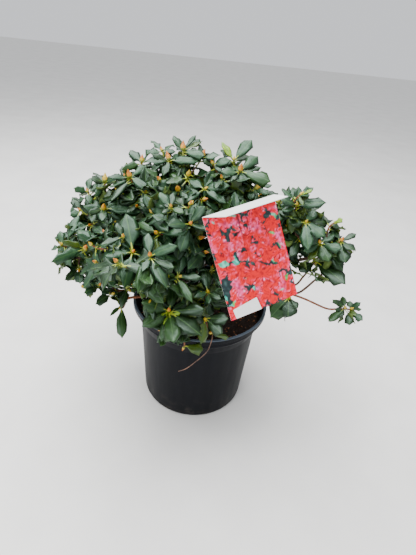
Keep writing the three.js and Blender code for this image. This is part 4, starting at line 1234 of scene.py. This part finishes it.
# Label: a printed card hung on a shoot, folded forward at its top, with a bare sticker. Screen colours
blossoms = {"seed": 61, "spread": 25.0, "radius": (15.0, 6.5), "astray": 14, "bare": 0.06, "leaves": 60,
            "grains": ((0.06, 11.0), (0.17, 7.0), (0.3, 3.0)), "bends": ((7, 0.07, 0), (2.5, 0.2, 2)),
            "overLeaves": 15, "leafLength": (5, 7), "leafWidth": 0.4, "slant": (0.62, 0.38),
            "ground": (24, 42, 44), "groundStreak": (36, 48, 44), "leafStreak": (90, 70, 80),
            "red": (238, 0, 20), "rose": (255, 90, 162), "deep": (112, 0, 18), "rim": (255, 150, 180),
            "sparkle": (255, 214, 224), "back": (252, 252, 250),
            "greens": [(70, 168, 120), (60, 190, 168), (104, 176, 70), (34, 80, 66), (30, 66, 60)],
            "overGreens": [(26, 50, 48), (30, 60, 56), (26, 46, 50), (80, 170, 90), (70, 190, 160)]}
# The sticker is stuck on askew and cut flush with the card's end; its corners in the card's millimetres
stickerPlate = {"thickness": 0.5, "out": 0.95, "round": 1.3,
                "corners": [(-8.2, -188.6), (-12.6, -164.3), (-61.8, -171.0), (-59.8, -188.6)]}


def held(values):
    return np.clip(values, 0, 1)


def paintPrint(across, up):
    # generic ruffled blossoms among dark leaves, worked out for each point of the card's face
    random = randomSource(blossoms["seed"])

    def grain(scale, offset):
        return np.array([noise.noise(Vector((x * scale, y * scale, offset))) for x, y in zip(across, up)])

    patch, streak, fleck = (grain(*given) for given in blossoms["grains"])
    (large, wide, first), (small, fine, second) = blossoms["bends"]
    bentAcross, bentUp = (flat + large * grain(wide, offset + first) + small * grain(fine, offset + second)
                          for flat, offset in ((across, 21.0), (up, 31.0)))
    colour = np.array(blossoms["ground"], float) + np.outer(held(streak + 0.2), blossoms["groundStreak"])

    def turnedFrom(x, y, turn):
        aside, above, c, s = bentAcross - x, bentUp - y, cos(turn), sin(turn)
        return aside * c + above * s, above * c - aside * s

    def paintLeaves(count, greens):
        for _ in range(count):
            x, y = (random() - 0.5) * label["width"], -random() * label["length"]
            length = ranged(blossoms["leafLength"], random())
            along, beside = (part / length for part in turnedFrom(x, y, random() * pi))
            inside = abs(beside) < blossoms["leafWidth"] * held(1 - along ** 2)
            colour[inside] = np.array(pick(random, greens)) + np.outer(streak[inside], blossoms["leafStreak"])

    def tinted(petal, amount, name):
        return petal + amount[:, None] * (np.array(blossoms[name], float) - petal)

    paintLeaves(blossoms["leaves"], blossoms["greens"])
    step = blossoms["spread"]
    columns, rows = int(label["width"] / step) + 3, int(label["length"] / step) + 2
    places = [(column, row) for row in range(rows) for column in range(columns)]
    places.sort(key=lambda place: (place[0] * 7 + place[1] * 5) % 11)
    for column, row in places:
        x = (column + 0.5 * (row % 2) - columns / 2) * step + (random() - 0.5) * blossoms["astray"]
        y = -(row + 0.1) * step + (random() - 0.5) * blossoms["astray"]
        radius = ranged(blossoms["radius"], random())
        turn, pink = random() * 6.28, random()
        slant, lean = ranged(blossoms["slant"], random()), random() * 3.14
        if random() < blossoms["bare"]:
            continue
        # each blossom is seen a little from one side, so its round is narrowed along a slant
        first, second = turnedFrom(x, y, lean)
        far, angle = np.hypot(first, second / slant) / radius, np.arctan2(second / slant, first) + turn
        lobe = abs(np.cos(angle * 2.5))
        edge = 0.66 + 0.34 * lobe ** 0.45 + 0.05 * np.sin(angle * 13 + pink * 9)
        share = held(far / np.maximum(edge, 0.1))
        ruffle = np.sin(angle * 9 + 5 * patch + pink * 6) * held(share * 1.6 - 0.3)
        glow = held(0.1 + (pink - 0.4) * 0.6 + patch * 1.1 + ruffle * 0.3 + streak * 0.7)
        petal = tinted(np.array(blossoms["red"], float), glow, "rose")
        fold = held(1 - lobe * 3) * held(share * 1.8 - 0.4) * 0.8
        petal = tinted(petal, held(fold + held(1 - share * 3.2) * 0.6 - ruffle * 0.3), "deep")
        petal = tinted(petal, held((share - 0.8) * 5) * held(pink - 0.25) * 0.7, "rim")
        sparkle = np.clip(fleck * 2.6 + streak * 1.4 - 0.7, 0, 0.8) * held(share * 2 - 0.5) * glow
        inside = far < edge
        colour[inside] = tinted(petal, sparkle, "sparkle")[inside]
    paintLeaves(blossoms["overLeaves"], blossoms["overGreens"])
    # the cut round the tongue, painted darker as shade in the slit, and a painted shadow beside the tongue's
    # left edge
    tongueEdge, (low, high, halfCut) = label["tongueWidth"] / 2 + 1.5, label["cut"]
    cut = (abs(abs(across) - tongueEdge) < halfCut) & (up > low) & (up < high)
    foot = (abs(np.hypot(across, up - low) - tongueEdge) < halfCut) & (up <= low)
    colour[cut | foot] *= 0.5
    colour[(across > -tongueEdge - 3) & (across < -tongueEdge + 2.5) & (up > -30)] *= 0.72
    return np.clip(colour, 0, 255)


cardFinish = makeFinish("cardWhite", [(246, 247, 245), (253, 253, 251)], (0.32, 0.4), 90, None,
                        (0.05, 800, 0.0003), Coat_Weight=0.2, Coat_Roughness=0.3)
stickerFinish = makeFinish("stickerPaper", [(249, 249, 247), (254, 254, 253)], (0.5, 0.58), 120, None,
                           (0.08, 1200, 0.0002))


def printFinish():
    material = makeFinish("labelPrint", [(240, 240, 236), (250, 250, 248)], (0.4, 0.48), 200, None,
                          (0.08, 900, 0.0003), Coat_Weight=0.1, Coat_Roughness=0.25, Specular_IOR_Level=0.3)
    tree = material.node_tree
    painted = makeNode(tree, "ShaderNodeAttribute", attribute_name="print")
    tree.links.new(painted, tree.nodes["Principled BSDF"].inputs["Base Color"])
    return material


def onCard(across, up, out, bowed=True):
    # a place on the card in the scene, bowed a little forward at its middle
    bow = label["bow"] * np.cos(across / label["width"] * pi) * held(-up / label["bowRise"])
    bow = float(bow - label["bowBack"]) if bowed else 0.0
    return cardPlace @ Vector((across, up, out + bow)) * mm


def cardStrip(name, line, halfWidths, finishes, bowed=True):
    # a strip of card along a bent line in (out, up), given its half width at each station
    columns = int(2 * max(halfWidths) / label["step"]) + 1
    flat = [((column / columns * 2 - 1) * width, up, out) for (out, up), width in zip(line, halfWidths)
            for column in range(columns + 1)]
    faces = []
    for row in range(len(line) - 1):
        for column in range(columns):
            start = row * (columns + 1) + column
            faces.append((start, start + 1, start + columns + 2, start + columns + 1))
    strip = meshObject(name, [onCard(*spot, bowed and spot[2] < 1) for spot in flat], faces)
    wall = strip.modifiers.new("thickness", "SOLIDIFY")
    wall.thickness, wall.offset = label["thickness"] * mm, 0
    wall.material_offset = wall.material_offset_rim = len(finishes) - 1
    for finish in finishes:
        strip.data.materials.append(finish)
    return strip, np.array(flat)


def makeLabel():
    length, flap, slope = label["length"], label["flap"], label["flapDrop"] / label["flap"]
    down = [(0.0, up) for up in np.arange(-length, label["bend"][0][1], label["step"])]
    over = [(out, -slope * out) for out in (*np.arange(9, flap, label["flapStep"]), flap)]
    line = [*down, *roundedLine(label["bend"], 5), *over]
    widths = [label["width"] / 2 - label["flapTaper"] * max(0, out) / flap for out, _ in line]
    strip, flat = cardStrip("labelStrip", line, widths, [printFinish(), cardFinish])
    painted = paintPrint(flat[:, 0], flat[:, 1])
    painted[flat[:, 2] > 1.0] = blossoms["back"]
    setAttribute(strip, "print", np.hstack([linear(painted), np.ones((len(flat), 1))]))
    settle("labelCard", strip, ["label_card"], 35)
    radius, drop, out = label["hookRadius"], label["tongueDrop"], label["hookOut"]
    hook = [(-out, -drop - 1.5), (-out, -drop)]
    hook += [(radius * (cos(angle) - 1) - out * (1 - angle / pi), -drop + radius * sin(angle))
             for angle in np.linspace(0.15, pi, 12)]
    hook += [(-2 * radius, -drop - reach) for reach in label["hookTail"]]
    widths = [label["tongueWidth"] / 2] * (len(hook) - 1) + [label["tongueWidth"] / 2 - 1.5]
    tongue, _ = cardStrip("labelHook", hook, widths, [cardFinish], bowed=False)
    settle("labelTongue", tongue, (), 35)


def makeSticker():
    rim, spots = [], [np.array(corner) for corner in stickerPlate["corners"]]
    for index, corner in enumerate(spots):
        before, after = (unit(spots[(index + way) % 4] - corner) * stickerPlate["round"] for way in (-1, 1))
        rim += cornerLine(corner + before, corner, corner + after, 6)
    plate = bmesh.new()
    face = plate.faces.new([plate.verts.new((across, up, 0)) for across, up in rim])
    raised = bmesh.ops.extrude_face_region(plate, geom=[face])
    for vertex in (item for item in raised["geom"] if isinstance(item, bmesh.types.BMVert)):
        vertex.co.z += stickerPlate["thickness"]
    bmesh.ops.bisect_plane(plate, geom=plate.verts[:] + plate.edges[:] + plate.faces[:],
                           plane_co=(*(sum(spots) / 4), 0), plane_no=(1, 0, 0))
    for vertex in plate.verts:
        out = vertex.co.z + stickerPlate["out"] - stickerPlate["thickness"] / 2
        vertex.co = onCard(vertex.co.x, vertex.co.y, out)
    piece = builtObject("labelSticker", plate)
    plate.free()
    turnFacesOut(piece)
    piece.data.materials.append(stickerFinish)
    mount(piece, ["label_sticker"])


makeLabel()
makeSticker()
print("label made")

# The shoot behind the label, on the card's axes, and the bare twig that hangs over the pot's side
labelShoot = {"from": "behind_label", "at": 0.7, "radii": (2.8, 1.9), "depth": -3.55, "scarSpacing": 17,
              "step": 2.2, "route": [(-44, 28, 26), (-26, 5, 3), (-9, 0, 0), (9, 0, 0), (28, 4, 0)]}
droopingTwig = {"from": "front", "at": 0.05, "radii": (1.45, 0.8), "scarSpacing": 13.0, "step": 2.0,
                "route": [(22, -74, 262), (32, -146, 268), (27, -161, 250), (22, -164, 241), (6, -168, 222),
                          (-12, -171, 203), (-26, -173, 196)]}


def makeSideShoot(name, side, route, finish, node, seed):
    foot, _ = alongLine(limbLines[side["from"]], side["at"])
    line, along, girths = tapered(splineLine([foot, *route]), side["step"], side["radii"])
    scars = along * lineSteps(line).sum() / side["scarSpacing"]
    pieces = Carrier(limbTree, limbs["sharp"])
    pieces.addLimb(line, girths * (1 + 0.16 * np.maximum(0, np.cos(scars * 2 * pi)) ** 12))
    pieces.build(name, [(finish,)], "shoot", [node], Sides=10, Relief=0.14, Grain=500.0, Seed=seed)


cardRoute = [cardPlace @ Vector((across, -label["tongueDrop"] - down, labelShoot["depth"] - back))
             for across, back, down in labelShoot["route"]]
makeSideShoot("labelShoot", labelShoot, cardRoute, shootFinish, "label_shoot", 2)
makeSideShoot("droopingTwig", droopingTwig, droopingTwig["route"], bareBarkFinish, "drooping_twig", 6)
print("side shoots made")

# Studio: a pale floor and soft light from above
studio = {"floor": 12.0, "sky": (0.90, 0.92, 0.96), "skyStrength": 0.96, "aim": (0, 0, 0.35),
          "lights": {"overhead": {"place": (-0.5, 0.4, 2.3), "power": 150.0, "size": 2.2},
                     "front": {"place": (-1.2, -2.1, 1.7), "power": 46.0, "size": 1.6}}}


def makeStudio():
    size = studio["floor"]
    corners = [(-size, -size, 0), (size, -size, 0), (size, size, 0), (-size, size, 0)]
    floor = meshObject("studioFloor", corners, [(0, 1, 2, 3)])
    floor.data.materials.append(makeFinish("floorPaint", [(222, 221, 218), (230, 229, 226)], (0.8, 0.88), 6))
    world = bpy.data.worlds.new("studioSky")
    world.use_nodes = True
    bpy.context.scene.world = world
    sky = world.node_tree.nodes["Background"]
    sky.inputs["Color"].default_value = (*studio["sky"], 1)
    sky.inputs["Strength"].default_value = studio["skyStrength"]
    for name, lamp in studio["lights"].items():
        data = bpy.data.lights.new(name, "AREA")
        data.energy, data.size = lamp["power"], lamp["size"]
        light = addObject(name, data)
        light.location = lamp["place"]
        aim = Vector(studio["aim"]) - Vector(lamp["place"])
        light.rotation_euler = aim.to_track_quat("-Z", "Y").to_euler()


makeStudio()
print("studio ready")
